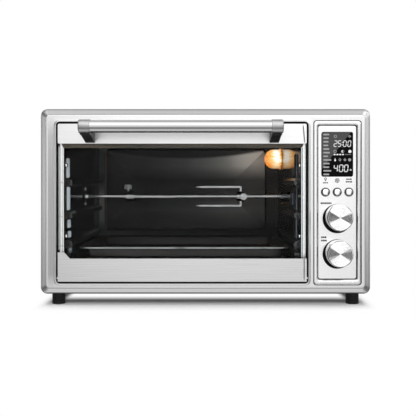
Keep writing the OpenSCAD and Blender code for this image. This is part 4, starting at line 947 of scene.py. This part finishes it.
# %% Build the display's marks
LIT, DIM, SOFT = range(3)
CORNER_BITE, END_BITE = 0.3, 0.2
DIGIT_LEAN, SEGMENT_GAP = 0.05, 0.35
SEGMENTS = {"0": "abcdef", "2": "abdeg", "4": "bcfg", "5": "acdfg"}
SEGMENT_ENDS = {
    "a": ((0, 0), (1, 0)), "b": ((1, 0), (1, 1)), "c": ((1, 1), (1, 2)), "d": ((0, 2), (1, 2)),
    "e": ((0, 1), (0, 2)), "f": ((0, 0), (0, 1)), "g": ((0, 1), (1, 1)),
}


class Print(Sheet):
    def __init__(self, lo, hi, skin):
        super().__init__()
        self.left, self.level, self.top = lo[0], lo[1] - skin, hi[2]

    def shape(self, points, mark=LIT):
        self.face(self.ring([(self.left + u, self.level, self.top - v) for u, v in points]), mark)

    def bar(self, u, v, length, height, mark=LIT):
        bite = min(height * CORNER_BITE, length * END_BITE)
        right, low = u + length, v + height
        self.shape([
            (u, v + bite), (u + bite, v), (right - bite, v), (right, v + bite), (right, low - bite),
            (right - bite, low), (u + bite, low), (u, low - bite),
        ], mark)

    def bars(self, u, v, lengths, height, gap):
        for length in lengths:
            self.bar(u, v, length, height)
            u += length + gap

    def disc(self, u, v, r, mark=LIT, hole=0.0, sides=20, start=0, sweep=360):
        turns = [start + sweep * i / sides for i in range(sides + 1)]
        outer, inner = (
            [(u + du, v + dv) for du, dv in (on_circle(size, a) for a in turns)] for size in (r, hole)
        )
        if not hole:
            self.shape(outer[:-1] if sweep == 360 else outer, mark)
            return
        for i in range(sides):
            self.shape([outer[i], outer[i + 1], inner[i + 1], inner[i]], mark)

    def digit(self, shown, u, v, wide, tall, thick):
        t, lean = thick / 2, DIGIT_LEAN * tall
        for name in SEGMENTS[shown]:
            a, b = (Vector((u + x * wide + lean * (1 - y), v + y * tall / 2)) for x, y in SEGMENT_ENDS[name])
            way = (b - a).normalized()
            side = Vector((-way.y, way.x)) * t
            a, b = a + way * t * SEGMENT_GAP, b - way * t * SEGMENT_GAP
            self.shape([a, a + way * t + side, b - way * t + side, b, b - way * t - side, a + way * t - side])


SCREEN_SKIN = 0.06
BAR_LEFT, BAR_TOP, BAR_STEP, BAR_TALL = 2.6, 2.6, 5.26, 2.3
BAR_LENGTHS = (8.7, 8, 7.7, 7.3, 8.7, 9.6, 7.1, 11.6, 9.2, 8.7, 11.6, 8.7)
TIME_SIZE, HEAT_SIZE = (12.8, 4, 8.4, 1), (47.9, 5, 9.6, 1.15)
READOUTS = [("2500", (18.4, 24.3, 31.9, 38.4), TIME_SIZE), ("400", (18.2, 26, 33.3), HEAT_SIZE)]
SYMBOLS = [
    (30.5, 15.4, 0.62), (30.5, 18.8, 0.62), (42.4, 55, 1.3, LIT, 0.7), (20.1, 6.4, 2.2, SOFT, 1.5),
    (40.8, 6.4, 2.2, SOFT, 1, 4), (19.7, 28.3, 2.2, SOFT, 1.5), (30.7, 28.3, 2.2, SOFT, 1.6),
    (30.7, 28.3, 2, LIT, 0, 10, 90, 180), (41.2, 28.3, 2.3), (26.8, 40.4, 2.3, SOFT, 1.2, 4),
    (34, 40.4, 2.3, SOFT, 0.8, 4), (40.9, 40.4, 2.3, SOFT, 0, 8),
]
SHORT_BARS, DIM_BAR = (17.6, 31.8, (3,) * 4, 1.9, 1), (33.8, 32.2, 9.4, 1.1, DIM)
FLAME = [(18.4, 41.6), (19.7, 37.6), (21.2, 41.6), (20.4, 42.6), (19.2, 42.6)]
screen = Print(screen_lo, screen_hi, SCREEN_SKIN)
for i, length in enumerate(BAR_LENGTHS):
    screen.bar(BAR_LEFT, BAR_TOP + BAR_STEP * i, length, BAR_TALL, SOFT)
for readout, places, size in READOUTS:
    for shown, u in zip(readout, places):
        screen.digit(shown, u, *size)
for symbol in SYMBOLS:
    screen.disc(*symbol)
screen.bars(*SHORT_BARS)
screen.bar(*DIM_BAR)
screen.shape(FLAME)
marks = piece("display_marks", screen, ["lit_mark", "dim_mark", "soft_mark"])
print("display marks:", len(marks.data.polygons))

# %% [markdown]
# ## Printed marks on the panel
# Small signs stand over the buttons and rows of short bars beside the knobs: a lamp, a fan wheel and plain
# strokes, printed in dark ink on the steel. They are drawn with the same tools as the display's marks.

# %% Build the printed marks
PRINT_SKIN = 0.05
SIGN_V = 79.6
BULB_V, BULB_R, BULB_HOLE = SIGN_V - 2.6, 1.9, 1.0
NECK_V, NECK_WIDE, NECK_TALL = SIGN_V - 0.7, 1.8, 1.5
LIGHT_BARS, LIGHT_V, LIGHT_TALL, LIGHT_LEFT, LIGHT_STEP = (2.2, 1.6, 2), SIGN_V + 2.2, 2, 3.5, 2.5
FAN_R, FAN_HOLE = 3.4, 2.8
FAN_BLADES, BLADE_R, BLADE_OUT = 5, 1.3, 1.6
START_BARS, START_STEP = ((2.6, 1.9, 2.8), (3, 2.4, 3.2)), 3.8
START_V, START_TALL, START_GAP, KNOB_TALL, KNOB_GAP = SIGN_V - 3.0, 2.1, 0.4, 2.6, 0.35
KNOB_BARS = [
    (3.4, 111.2, (2.6, 2, 2.8, 2.4, 2.4, 1.9)), (4.2, 160.6, (2.4, 1.8, 2.6)), (4.2, 165.4, (2.2, 2.8, 2.4)),
]
light_u, fan_u, start_u = (x - panel_lo[0] for x in button_x)
panel = Print(panel_lo, panel_hi, PRINT_SKIN)
panel.disc(light_u, BULB_V, BULB_R, hole=BULB_HOLE)
panel.bar(light_u - NECK_WIDE / 2, NECK_V, NECK_WIDE, NECK_TALL)
for i, length in enumerate(LIGHT_BARS):
    panel.bar(light_u - LIGHT_LEFT + LIGHT_STEP * i, LIGHT_V, length, LIGHT_TALL)
for k in range(FAN_BLADES):
    turn = 360 / FAN_BLADES * k
    du, dv = on_circle(BLADE_OUT, turn)
    panel.disc(fan_u + du, SIGN_V + dv, BLADE_R, sides=8, start=turn, sweep=180)
panel.disc(fan_u, SIGN_V, FAN_R, hole=FAN_HOLE, sides=24)
for row, lengths in enumerate(START_BARS):
    left = start_u - sum(lengths) / 2 - START_GAP
    panel.bars(left, START_V + START_STEP * row, lengths, START_TALL, START_GAP)
for u, v, lengths in KNOB_BARS:
    panel.bars(u, v, lengths, KNOB_TALL, KNOB_GAP)
ink = piece("panel_print", panel, ["print_ink"])
print("printed marks:", len(ink.data.polygons))

# %% [markdown]
# ## The baking pan
# The real pan is pressed from one sheet with a rim rolled over a wire, which catches the light along the
# front, where the coating has worn off. The CAD solid has a flat flange. Here the rolled rim, the soft upper
# corner and the rounded well are carried round the pan's outline as one section, and Solidify gives the
# sheet its thickness.

# %% Build the baking pan
PAN_SECTION = [
    (2, 0.1, 12), (0.9, 0, 13), (0.15, 0.6, 13.8), (0, 1.25, 14), (0.35, 1.9, 13.7), (1.1, 2.2, 13),
    (1.9, 1.9, 12.4), (2.4, 1.2, 12), (3.2, 0.9, 11.6), (9.6, 0.9, 8), (10.8, 0.5, 8), (11.5, -0.6, 8),
    (14.6, -12.2, 7), (15.6, -14.2, 7), (17.4, -15.2, 6), (20, -15.4, 6),
]
RIM_DROP, RIM_STRIPS, WORN_BAND = 1, 8, 5
SHEET_THICK = 0.6
pan_lo, pan_hi = span("baking_pan")
pan_box = side_box(pan_lo, pan_hi, X, Y)
rim_z = pan_hi[2] - RIM_DROP
rows = [at(Z, rim_z + z, round_rect(grown(pan_box, -d), r)) for d, z, r in PAN_SECTION]
sheet = Sheet(rows, lids=[-1])
for k, face in enumerate(sheet.faces[:RIM_STRIPS * len(rows[0])]):
    sheet.marks[k] = int(max(sheet.points[v][1] for v in face) < pan_lo[1] + WORN_BAND)
finishes = ["pan_coating", "pan_rim"]
pan = piece("baking_pan_pressed", sheet, finishes, ["baking_pan"], "baking_pan")
modify(pan, "sheet", "SOLIDIFY", thickness=SHEET_THICK * MM)
keep_flats(pan)
print("pan is", [round(b - a, 1) for a, b in zip(pan_lo, pan_hi)], "mm")

# %% [markdown]
# ## The oven lamp
# The lamp's cover is a small ribbed glass dome, screwed into a bright flange on the right wall. A turned
# section with a ripple gives the ribs. A warm point lamp in front of it lights the chamber, as the bulb does
# through the glass.

# %% Build the lamp cover
DOME_RIBS, RIB_DEPTH, RIB_START, RIB_FADE = 16, 0.45, -4.5, 8
FLANGE_HIGH, FLANGE_WIDE = 4.4, 2.3
BULB_WATTS, BULB_TINT, BULB_SIZE, BULB_OUT = 0.045, (1, 0.91, 0.8), 0.012, 18
lens_r, dome_long = (lens_hi[1] - lens_lo[1]) / 2, lens_hi[0] - lens_lo[0]
lamp_x, lamp_y, lamp_z = lens_hi[0], *middle_of(lens_lo, lens_hi)[1:]
dome_r = lens_r - FLANGE_WIDE
straight = dome_long - dome_r
section = [
    (lens_r - 3.2, 0), (lens_r - 0.4, 0), (lens_r, -0.5), (lens_r, -3), (lens_r - 0.5, -3.6),
    (dome_r + 0.3, -4), (dome_r, -FLANGE_HIGH),
]
section += [(dome_r, -FLANGE_HIGH - (straight - FLANGE_HIGH) * k / 3) for k in (1, 2, 3)]
section += [(out, -straight - far) for out, far in (on_circle(dome_r, 9 * k) for k in range(1, 10))]
section.append((0.4, -dome_long))


def rib(angle, radius, along):
    ripple = RIB_DEPTH * math.cos(math.radians(DOME_RIBS * angle)) * min(1, radius / RIB_FADE)
    return ripple if along < RIB_START else 0.0


rows = turned(section, (lamp_x, lamp_y, lamp_z), X, DOME_RIBS * 6, rib)
sheet = Sheet(rows, [1] * 2 + [0] * (len(section) - 3), [-1])
piece("lamp_cover", sheet, ["lamp_glass", "surround_chrome"], ["lamp_lens"], angle=60)
warm_data = bpy.data.lights.new("chamber_lamp", "POINT")
warm_data.energy = BULB_WATTS
warm_data.color = BULB_TINT
warm_data.shadow_soft_size = BULB_SIZE
warm = put_in_scene(bpy.data.objects.new("chamber_lamp", warm_data))
warm.visible_camera = warm.visible_glossy = warm.visible_transmission = False
warm.location = ((lens_lo[0] - BULB_OUT) * MM, lamp_y * MM, lamp_z * MM)
print("lamp cover", round(2 * dome_r, 1), "mm across")

# %% [markdown]
# ## The mouth of the chamber
# Behind the door a folded ring joins the chamber to the casing. Its two upright flanges catch the studio
# light and stay bright, while its top lip is painted dark brown, a painted shade. Its outer band, seen
# through the door gap, is painted black as shade, and the end of the inner fold carries a painted warm
# reflection. Four-cornered loops are skinned here, so each side can take its own finish, and the inner fold
# turns back to meet the chamber walls. Fine seams cross the left flange, and the edge of the glass shows as a
# bluish line at the right.

# %% Build the mouth ring
MOUTH_TOP = 228.0
CAVITY = (
    span("chamber_left_wall")[1][0], span("chamber_right_wall")[0][0], span("chamber_floor")[1][2], MOUTH_TOP
)
FOLD_SECTION = [(2.6, 0), (1.9, -0.12), (1.1, -0.3), (0.4, -0.1), (0, 0.5), (0, 3.2)]
# The outer band takes black painted shade, and the last two fold strips a painted warm reflection.
RING_MARKS = [3, 0, 0, 0, 0, 1, 1]
TOP_SIDE = 2
GASKET_IN = 0.4
SEAM_HEIGHTS, SEAM_HALF = (84, 127, 177), 0.35
SEAM_SLOPE, SEAM_PROUD, PANE_SLOPE, PANE_PROUD = 0.1, 0.08, 0.15, 0.35
ring_lo, ring_hi = span("mouth_ring")
ring_y = ring_lo[1]
rows = [at(Y, ring_y, square(box)) for box in (side_box(ring_lo, ring_hi), grown(door_box, -GASKET_IN))]
rows += [at(Y, ring_y + y, square(grown(CAVITY, d))) for d, y in FOLD_SECTION]
sheet = Sheet(rows, RING_MARKS)
# The top side of the fold takes the lip's dark brown, a painted shade.
sheet.marks[4 + TOP_SIDE::4] = [2] * len(FOLD_SECTION)
finishes = ["liner_steel", "warm_painted_reflection", "lip_painted_shade", "gasket_black"]
piece("mouth_ring_folded", sheet, finishes, ["mouth_ring"])
seam_left, seam_right = rail_lo[0] + 1, CAVITY[0] - 0.8
seam_boxes = [(seam_left, seam_right, z - SEAM_HALF, z + SEAM_HALF) for z in SEAM_HEIGHTS]
seams = [(box, SEAM_SLOPE, SEAM_PROUD, 0) for box in seam_boxes]
pane_box = (CAVITY[1] + 1.2, CAVITY[1] + 2.5, CAVITY[2] + 2, CAVITY[3])
sheet = Sheet()
for box, slope, proud, mark in seams + [(pane_box, PANE_SLOPE, PANE_PROUD, 1)]:
    rows = [at(Y, ring_y, square(box)), at(Y, ring_y - proud, square(grown(box, -slope)))]
    sheet.loft(rows, mark, [-1])
piece("mouth_ring_seams", sheet, ["dark_sheet", "pane_edge"])
print("mouth", [round(v, 1) for v in CAVITY])

# %% [markdown]
# ## The enamel of the back wall
# The back wall is pressed into a shallow hipped panel, so that the thin sheet doesn't drum when it heats. Its
# dark enamel carries painted light: each slope is painted a tone of its own, lit or shaded, which draws the
# diagonals, and the tones by height and by width are painted light and shade, brighter towards the lamp at
# the right. The finish tells the slopes from the flat border by the way they face. A soft arched shade near
# the top is what the ceiling throws.

# %% Make the back wall's enamel
PRESSED = (CAVITY[0] + 13.5, CAVITY[1] - 26, 85.5, 238.5)
# Painted light and shade of the back wall: tones by height for the slopes and the border, and by width.
ROOF_PAINTED_LIGHT = [
    (0, 0.022), (0.12, 0.132), (0.24, 0.286), (0.38, 0.154), (0.62, 0.044), (0.69, 0.22), (0.8, 0.528),
    (1, 0.528),
]
END_PAINTED_LIGHT = [
    (0, 0.02), (0.05, 0.04), (0.12, 0.12), (0.24, 0.2), (0.36, 0.14), (0.5, 0.072), (0.62, 0.068),
    (0.75, 0.24), (0.86, 0.36), (1, 0.2),
]
EDGE_PAINTED_LIGHT = [
    (0, 0.12), (0.12, 0.4), (0.24, 0.5), (0.37, 0.42), (0.5, 0.24), (0.62, 0.1), (0.75, 0.16), (1, 0.14),
]
ACROSS_PAINTED_LIGHT = [(0, 0.15), (0.25, 0.15), (0.5, 0.4), (0.8, 0.9), (1, 0.75)]
EDGE_ACROSS_PAINTED_LIGHT = [(0, 1), (0.2, 0.5), (1, 0.12)]
LEAST_SLOPE = 0.04
SHADE_HIGH, SHADE_ARCH, SHADE_BLUR, SHADE_LEFT = 0.9, -0.4, (-0.02, 0.025), (0.06, 1)


def back_enamel():
    made, shader, coords = finish_of("back_pressed_enamel", Specular_IOR_Level=0.1)
    place, facing = xyz_of(coords), facing_of(coords.id_data)
    x0, x1, z0, z1 = (v * MM for v in PRESSED)
    across, up = share_of(place["X"], x0, x1), share_of(place["Z"], z0, z1)
    on_roof, on_end = (over(size_of(facing[axis]), LEAST_SLOPE) for axis in "ZX")
    sloped = mix_of(on_roof, ramp_of(up, END_PAINTED_LIGHT), ramp_of(up, ROOF_PAINTED_LIGHT))
    off = minus(across, 0.5)
    arch = minus(SHADE_HIGH, product(off, off, SHADE_ARCH))
    shade = share_of(minus(arch, up), *SHADE_BLUR, SHADE_LEFT, SOFT_STEP)
    tone = product(sloped, ramp_of(across, ACROSS_PAINTED_LIGHT), shade)
    border = product(ramp_of(up, EDGE_PAINTED_LIGHT), ramp_of(across, EDGE_ACROSS_PAINTED_LIGHT))
    feed(mix_of(highest(on_roof, on_end), border, tone), shader["Base Color"])
    roughen(shader, grain(coords, 40), 0.25, 0.35)
    return made


FINISH["back_enamel"] = back_enamel()
print("pressed panel", [round(v, 1) for v in PRESSED])

# %% [markdown]
# ## The back of the chamber
# The sheet is four flat faces of the border and four slopes, shaded flat, with Solidify for its thickness. A
# half-round bead runs along the fold as its own ring. Its left side carries a painted warm reflection of the
# lamp, so the faces there take that finish.

# %% Build the back wall
PRESS_DEPTH = 8.0
BEAD_SECTION = [(3.4, 0), (2.9, -0.8), (2, -1.4), (1.1, -1.5), (0.3, -1.1), (-0.3, -0.3), (-0.6, 0.3)]
FOLD_R = 7
# Between these x the bead's faces take the painted warm reflection.
WARM_REFLECTION_X = (PRESSED[0] - 2.2, PRESSED[0] + 2)
back_lo, back_hi = span("chamber_back_wall")
back_y = back_lo[1]
run = (PRESSED[3] - PRESSED[2]) / 2
sheet = Sheet()
border, foot = sheet.loft([at(Y, back_y, square(box)) for box in (side_box(back_lo, back_hi), PRESSED)])
left_end, right_end = sheet.ring([
    (x, back_y + PRESS_DEPTH, PRESSED[2] + run) for x in (PRESSED[0] + run, PRESSED[1] - run)
])
sheet.face((foot[0], foot[1], right_end, left_end))
sheet.face((foot[1], foot[2], right_end))
sheet.face((foot[2], foot[3], left_end, right_end))
sheet.face((foot[3], foot[0], left_end))
back = piece(
    "chamber_back_pressed", sheet, ["back_enamel"], ["chamber_back_wall"], angle=2
)
back.data.shade_flat()
modify(back, "sheet", "SOLIDIFY", thickness=SHEET_THICK * MM, offset=1)
sheet = Sheet([at(Y, back_y + y, round_rect(grown(PRESSED, d), FOLD_R + d)) for d, y in BEAD_SECTION])
for k, face in enumerate(sheet.faces):
    sheet.marks[k] = int(all(WARM_REFLECTION_X[0] < sheet.points[v][0] < WARM_REFLECTION_X[1] for v in face))
piece("chamber_back_bead", sheet, ["groove_enamel", "warm_painted_reflection"], angle=70)
print("back wall faces:", len(back.data.polygons))

# %% [markdown]
# ## Guides on the side walls
# Just inside the mouth, upright guides stand on both walls between the rack ribs, a pale coat at the left
# that is a painted highlight, and dull steel at the right. They are folded strips whose front slope shines
# against the dark wall. One short section is drawn in plan and carried up the wall; each strip starts and
# stops clear of the ribs.

# %% Build the wall guides
LEFT_GUIDES = [
    (-118, 184, 213.6), (-115, 135.4, 170.6), (-111, 108.6, 121.4), (-108, 93.6, 103.4), (-103, 66.6, 78),
]
RIGHT_GUIDES = [(-91, 183, 221), (-89, 134, 171), (-87, 91, 121), (-85, 64.6, 78), (-45, 141, 160)]
GUIDE_PLAN = [(0, 0), (0.5, 0.2), (3, 6.6), (3.2, 7.4), (3, 8.2), (0.5, 12.6), (0, 13)]
GUIDE_ENDS = [(0, 0.55), (0.8, 0.9), (1.8, 1)]


def build_guides(name, wall_x, side, places, finish):
    sheet = Sheet()
    for y, z0, z1 in places:
        levels = [(z0 + d, full) for d, full in GUIDE_ENDS]
        levels += [(z1 - d, full) for d, full in reversed(GUIDE_ENDS)]
        rows = [[(wall_x + side * out * full, y + deep, z) for out, deep in GUIDE_PLAN] for z, full in levels]
        sheet.loft(rows, lids=(0, -1), closed=False)
    piece(name, sheet, [finish], angle=50)


build_guides("left_wall_guides", CAVITY[0], 1, LEFT_GUIDES, "guide_painted_highlight")
build_guides("right_wall_guides", CAVITY[1], -1, RIGHT_GUIDES, "guide_dull")
print("wall guides:", len(LEFT_GUIDES) + len(RIGHT_GUIDES))

# %% [markdown]
# ## Screws in the chamber
# The liner is held by pan-head screws, and two more hold the spit's bearing. Flat CAD discs show only as
# dull ovals, so each head is turned as a low dome with a driver recess, and the dome picks up a point of
# light from the front.

# %% Build the chamber screws
HEAD_SECTION = [
    (3.6, 0), (3.6, 0.5), (3.3, 1.25), (2.6, 1.85), (1.7, 2.2), (1.35, 2.25), (0.9, 1.3), (0.3, 1.1),
]
# The driver recess takes the dark finish: painted shade.
HEAD_MARKS = [0] * 5 + [1] * 2
HEAD_SIDES = 24
LINER_SCREW_Y, LINER_SCREW_Z = -119.8, (59, 97, 203)
PLATE_OUT, PLATE_SCREW = 2, 13
spit_lo, spit_hi = span("spit_rod")
spit_y, spit_z = middle_of(spit_lo, spit_hi)[1:]
heads = [(x, side, LINER_SCREW_Y, z) for x, side in ((CAVITY[0], 1), (CAVITY[1], -1)) for z in LINER_SCREW_Z]
heads += [(CAVITY[0] + PLATE_OUT, 1, spit_y, spit_z + dz) for dz in (-PLATE_SCREW, PLATE_SCREW)]
sheet = Sheet()
for x, side, y, z in heads:
    rows = turned([(r, side * out) for r, out in HEAD_SECTION], (x, y, z), X, HEAD_SIDES)
    sheet.loft(rows, HEAD_MARKS, (0, -1))
piece(
    "chamber_screw_heads", sheet, ["screw_steel", "dark_sheet"], ["chamber_screws"], angle=40
)
print("screw heads:", len(heads))

# %% [markdown]
# ## The temperature probe
# A thin brass capillary comes out of the right wall and turns up, and below it a short rod ends in a bead. A
# Bezier curve with a round bevel would do as well; here the tube is swept along a short polyline with
# rounded corners, which keeps one kind of mesh.

# %% Build the probe
TUBE_R, ROD_R = 0.75, 0.8
TUBE_SIDES, BEAD_SIDES = 12, 16
BEND = [
    (138.6, 0), (137.2, 0.3), (136.3, 1.2), (136, 2.6), (136, 9), (135.9, 11.4), (135.2, 12.4),
    (134.2, 12.6),
]
BEAD = [(137.6, 0.3), (137.2, 1.3), (136.2, 2), (135, 2.2), (133.8, 1.9), (132.9, 1.1), (132.6, 0.3)]
BEAD_DEEPER, BEAD_LOWER = 0.2, 5.4
probe_lo, probe_hi = span("temperature_probe")
probe_y, probe_z = middle_of(probe_lo, probe_hi)[1:]


def swept(path, radii, count):
    rows = []
    for i, r in enumerate(radii):
        way = (Vector(path[min(i + 1, len(path) - 1)]) - Vector(path[max(i - 1, 0)])).normalized()
        first = way.cross(Vector((0, 1, 0))).normalized()
        second = way.cross(first)
        turns = (on_circle(r, 360 * k / count) for k in range(count))
        rows.append([Vector(path[i]) + first * c + second * s for c, s in turns])
    return rows


sheet = Sheet()
tube = [(x, probe_y, probe_z + up) for x, up in [(probe_hi[0], 0)] + BEND]
rod = [(x, probe_y + BEAD_DEEPER, probe_z - BEAD_LOWER) for x in (probe_hi[0], BEAD[1][0])]
bead = [(x, probe_y + BEAD_DEEPER, probe_z - BEAD_LOWER) for x, r in BEAD]
runs = [
    (tube, [TUBE_R] * len(tube), TUBE_SIDES), (bead, [r for x, r in BEAD], BEAD_SIDES),
    (rod, [ROD_R] * 2, TUBE_SIDES),
]
for path, radii, count in runs:
    sheet.loft(swept(path, radii, count), lids=(0, -1))
piece("temperature_probe_bent", sheet, ["brass"], ["temperature_probe"], angle=60)
print("probe at", round(probe_y, 1), round(probe_z, 1))

# %% [markdown]
# ## The spit's left bearing
# The spit turns in a collar on a small plate. The plate is enamelled like the wall and nearly vanishes; only
# the bright collar and the screws show. So the piece is made of both, each with its own finish.

# %% Build the spit bearing
PLATE_SECTION = [(0, 0), (0, 1.4), (-0.6, PLATE_OUT)]
PLATE_R, COLLAR_SIDES = 4, 36
support_lo, support_hi = span("spit_support")
collar_out = support_hi[0] - CAVITY[0]
boss_r = (support_hi[1] - support_lo[1]) / 2
COLLAR = [
    (boss_r - 1.4, PLATE_OUT), (boss_r - 1.4, collar_out - 1.2), (boss_r - 2, collar_out - 0.3),
    (boss_r - 2.8, collar_out), (4.4, collar_out), (4.3, 2.5),
]
plate = side_box(support_lo, support_hi, Y, Z)
rows = [at(X, CAVITY[0] + out, round_rect(grown(plate, d), PLATE_R + d)) for d, out in PLATE_SECTION]
sheet = Sheet(rows, 1, [-1])
sheet.loft(turned(COLLAR, (CAVITY[0], spit_y, spit_z), X, COLLAR_SIDES))
piece("spit_bearing", sheet, ["collar_steel", "chamber_coating"], ["spit_support"], angle=40)
print("bearing stands", round(collar_out, 1), "mm off the wall")

# %% [markdown]
# ## The spit
# The spit is a square steel bar with well rounded edges, turned round at its left end, with a stop collar.
# One row of outlines along the bar draws all three: the same rounded square becomes a circle where its
# corner radius is half its side.

# %% Build the spit
STOP_X = support_hi[0] + 0.4
SPIT_ROWS = [
    (spit_lo[0], 2.4, 2.4), (spit_lo[0] + 0.6, 3, 3), (STOP_X, 3, 3), (STOP_X, 4.9, 4.9),
    (STOP_X + 0.6, 5.5, 5.5), (STOP_X + 3.4, 5.5, 5.5), (STOP_X + 4, 4.9, 4.9), (STOP_X + 4, 3, 2.3),
    (spit_hi[0] - 0.8, 3, 2.3), (spit_hi[0], 2.3, 1.8),
]
axis_box = (spit_y, spit_y, spit_z, spit_z)
sheet = Sheet([at(X, x, round_rect(grown(axis_box, half), r)) for x, half, r in SPIT_ROWS], lids=(0, -1))
piece("spit_bar", sheet, ["spit_chrome"], ["spit_rod"], "spit", (0, spit_y, spit_z), angle=30)
print("spit from", round(spit_lo[0], 1), "to", round(spit_hi[0], 1))

# %% [markdown]
# ## Folds at the right end of the rails
# The rails' sheet is folded in at the right end, and the fold shows as a dark crease with a bright strip
# beyond it. Each crease is a low ridge on the rail, slanted on the top rail and upright on the other: half
# steel, and half black as painted shade.

# %% Build the rail folds
RAIL_FOLDS = [
    ((143.6, rail_lo[2] + 0.8), (141, rail_hi[2] - 1.6)),
    ((142.6, low_rail_lo[2] + 1.6), (142.6, low_rail_hi[2] - 2)),
]
FOLD_PLAN = [(-0.9, 0), (-0.45, 0.5), (0, 0.75), (0.45, 0.5), (0.9, 0)]
FOLD_ROWS = [(0, 0.3), (0.06, 0.8), (0.15, 1), (0.85, 1), (0.94, 0.8), (1, 0.3)]
sheet = Sheet()
for (x0, z0), (x1, z1) in RAIL_FOLDS:
    rows = []
    for share, size in FOLD_ROWS:
        x, z = x0 + (x1 - x0) * share, z0 + (z1 - z0) * share
        rows.append([(x + dx * size, rail_lo[1] - out * size, z) for dx, out in FOLD_PLAN])
    sheet.loft(rows, closed=False)
# The black half of each crease is painted shade.
sheet.marks = [0, 0, 1, 1] * (len(sheet.faces) // 4)
piece("rail_end_folds", sheet, ["door_steel", "gasket_black"], body="door", angle=60)
print("rail folds:", len(RAIL_FOLDS))
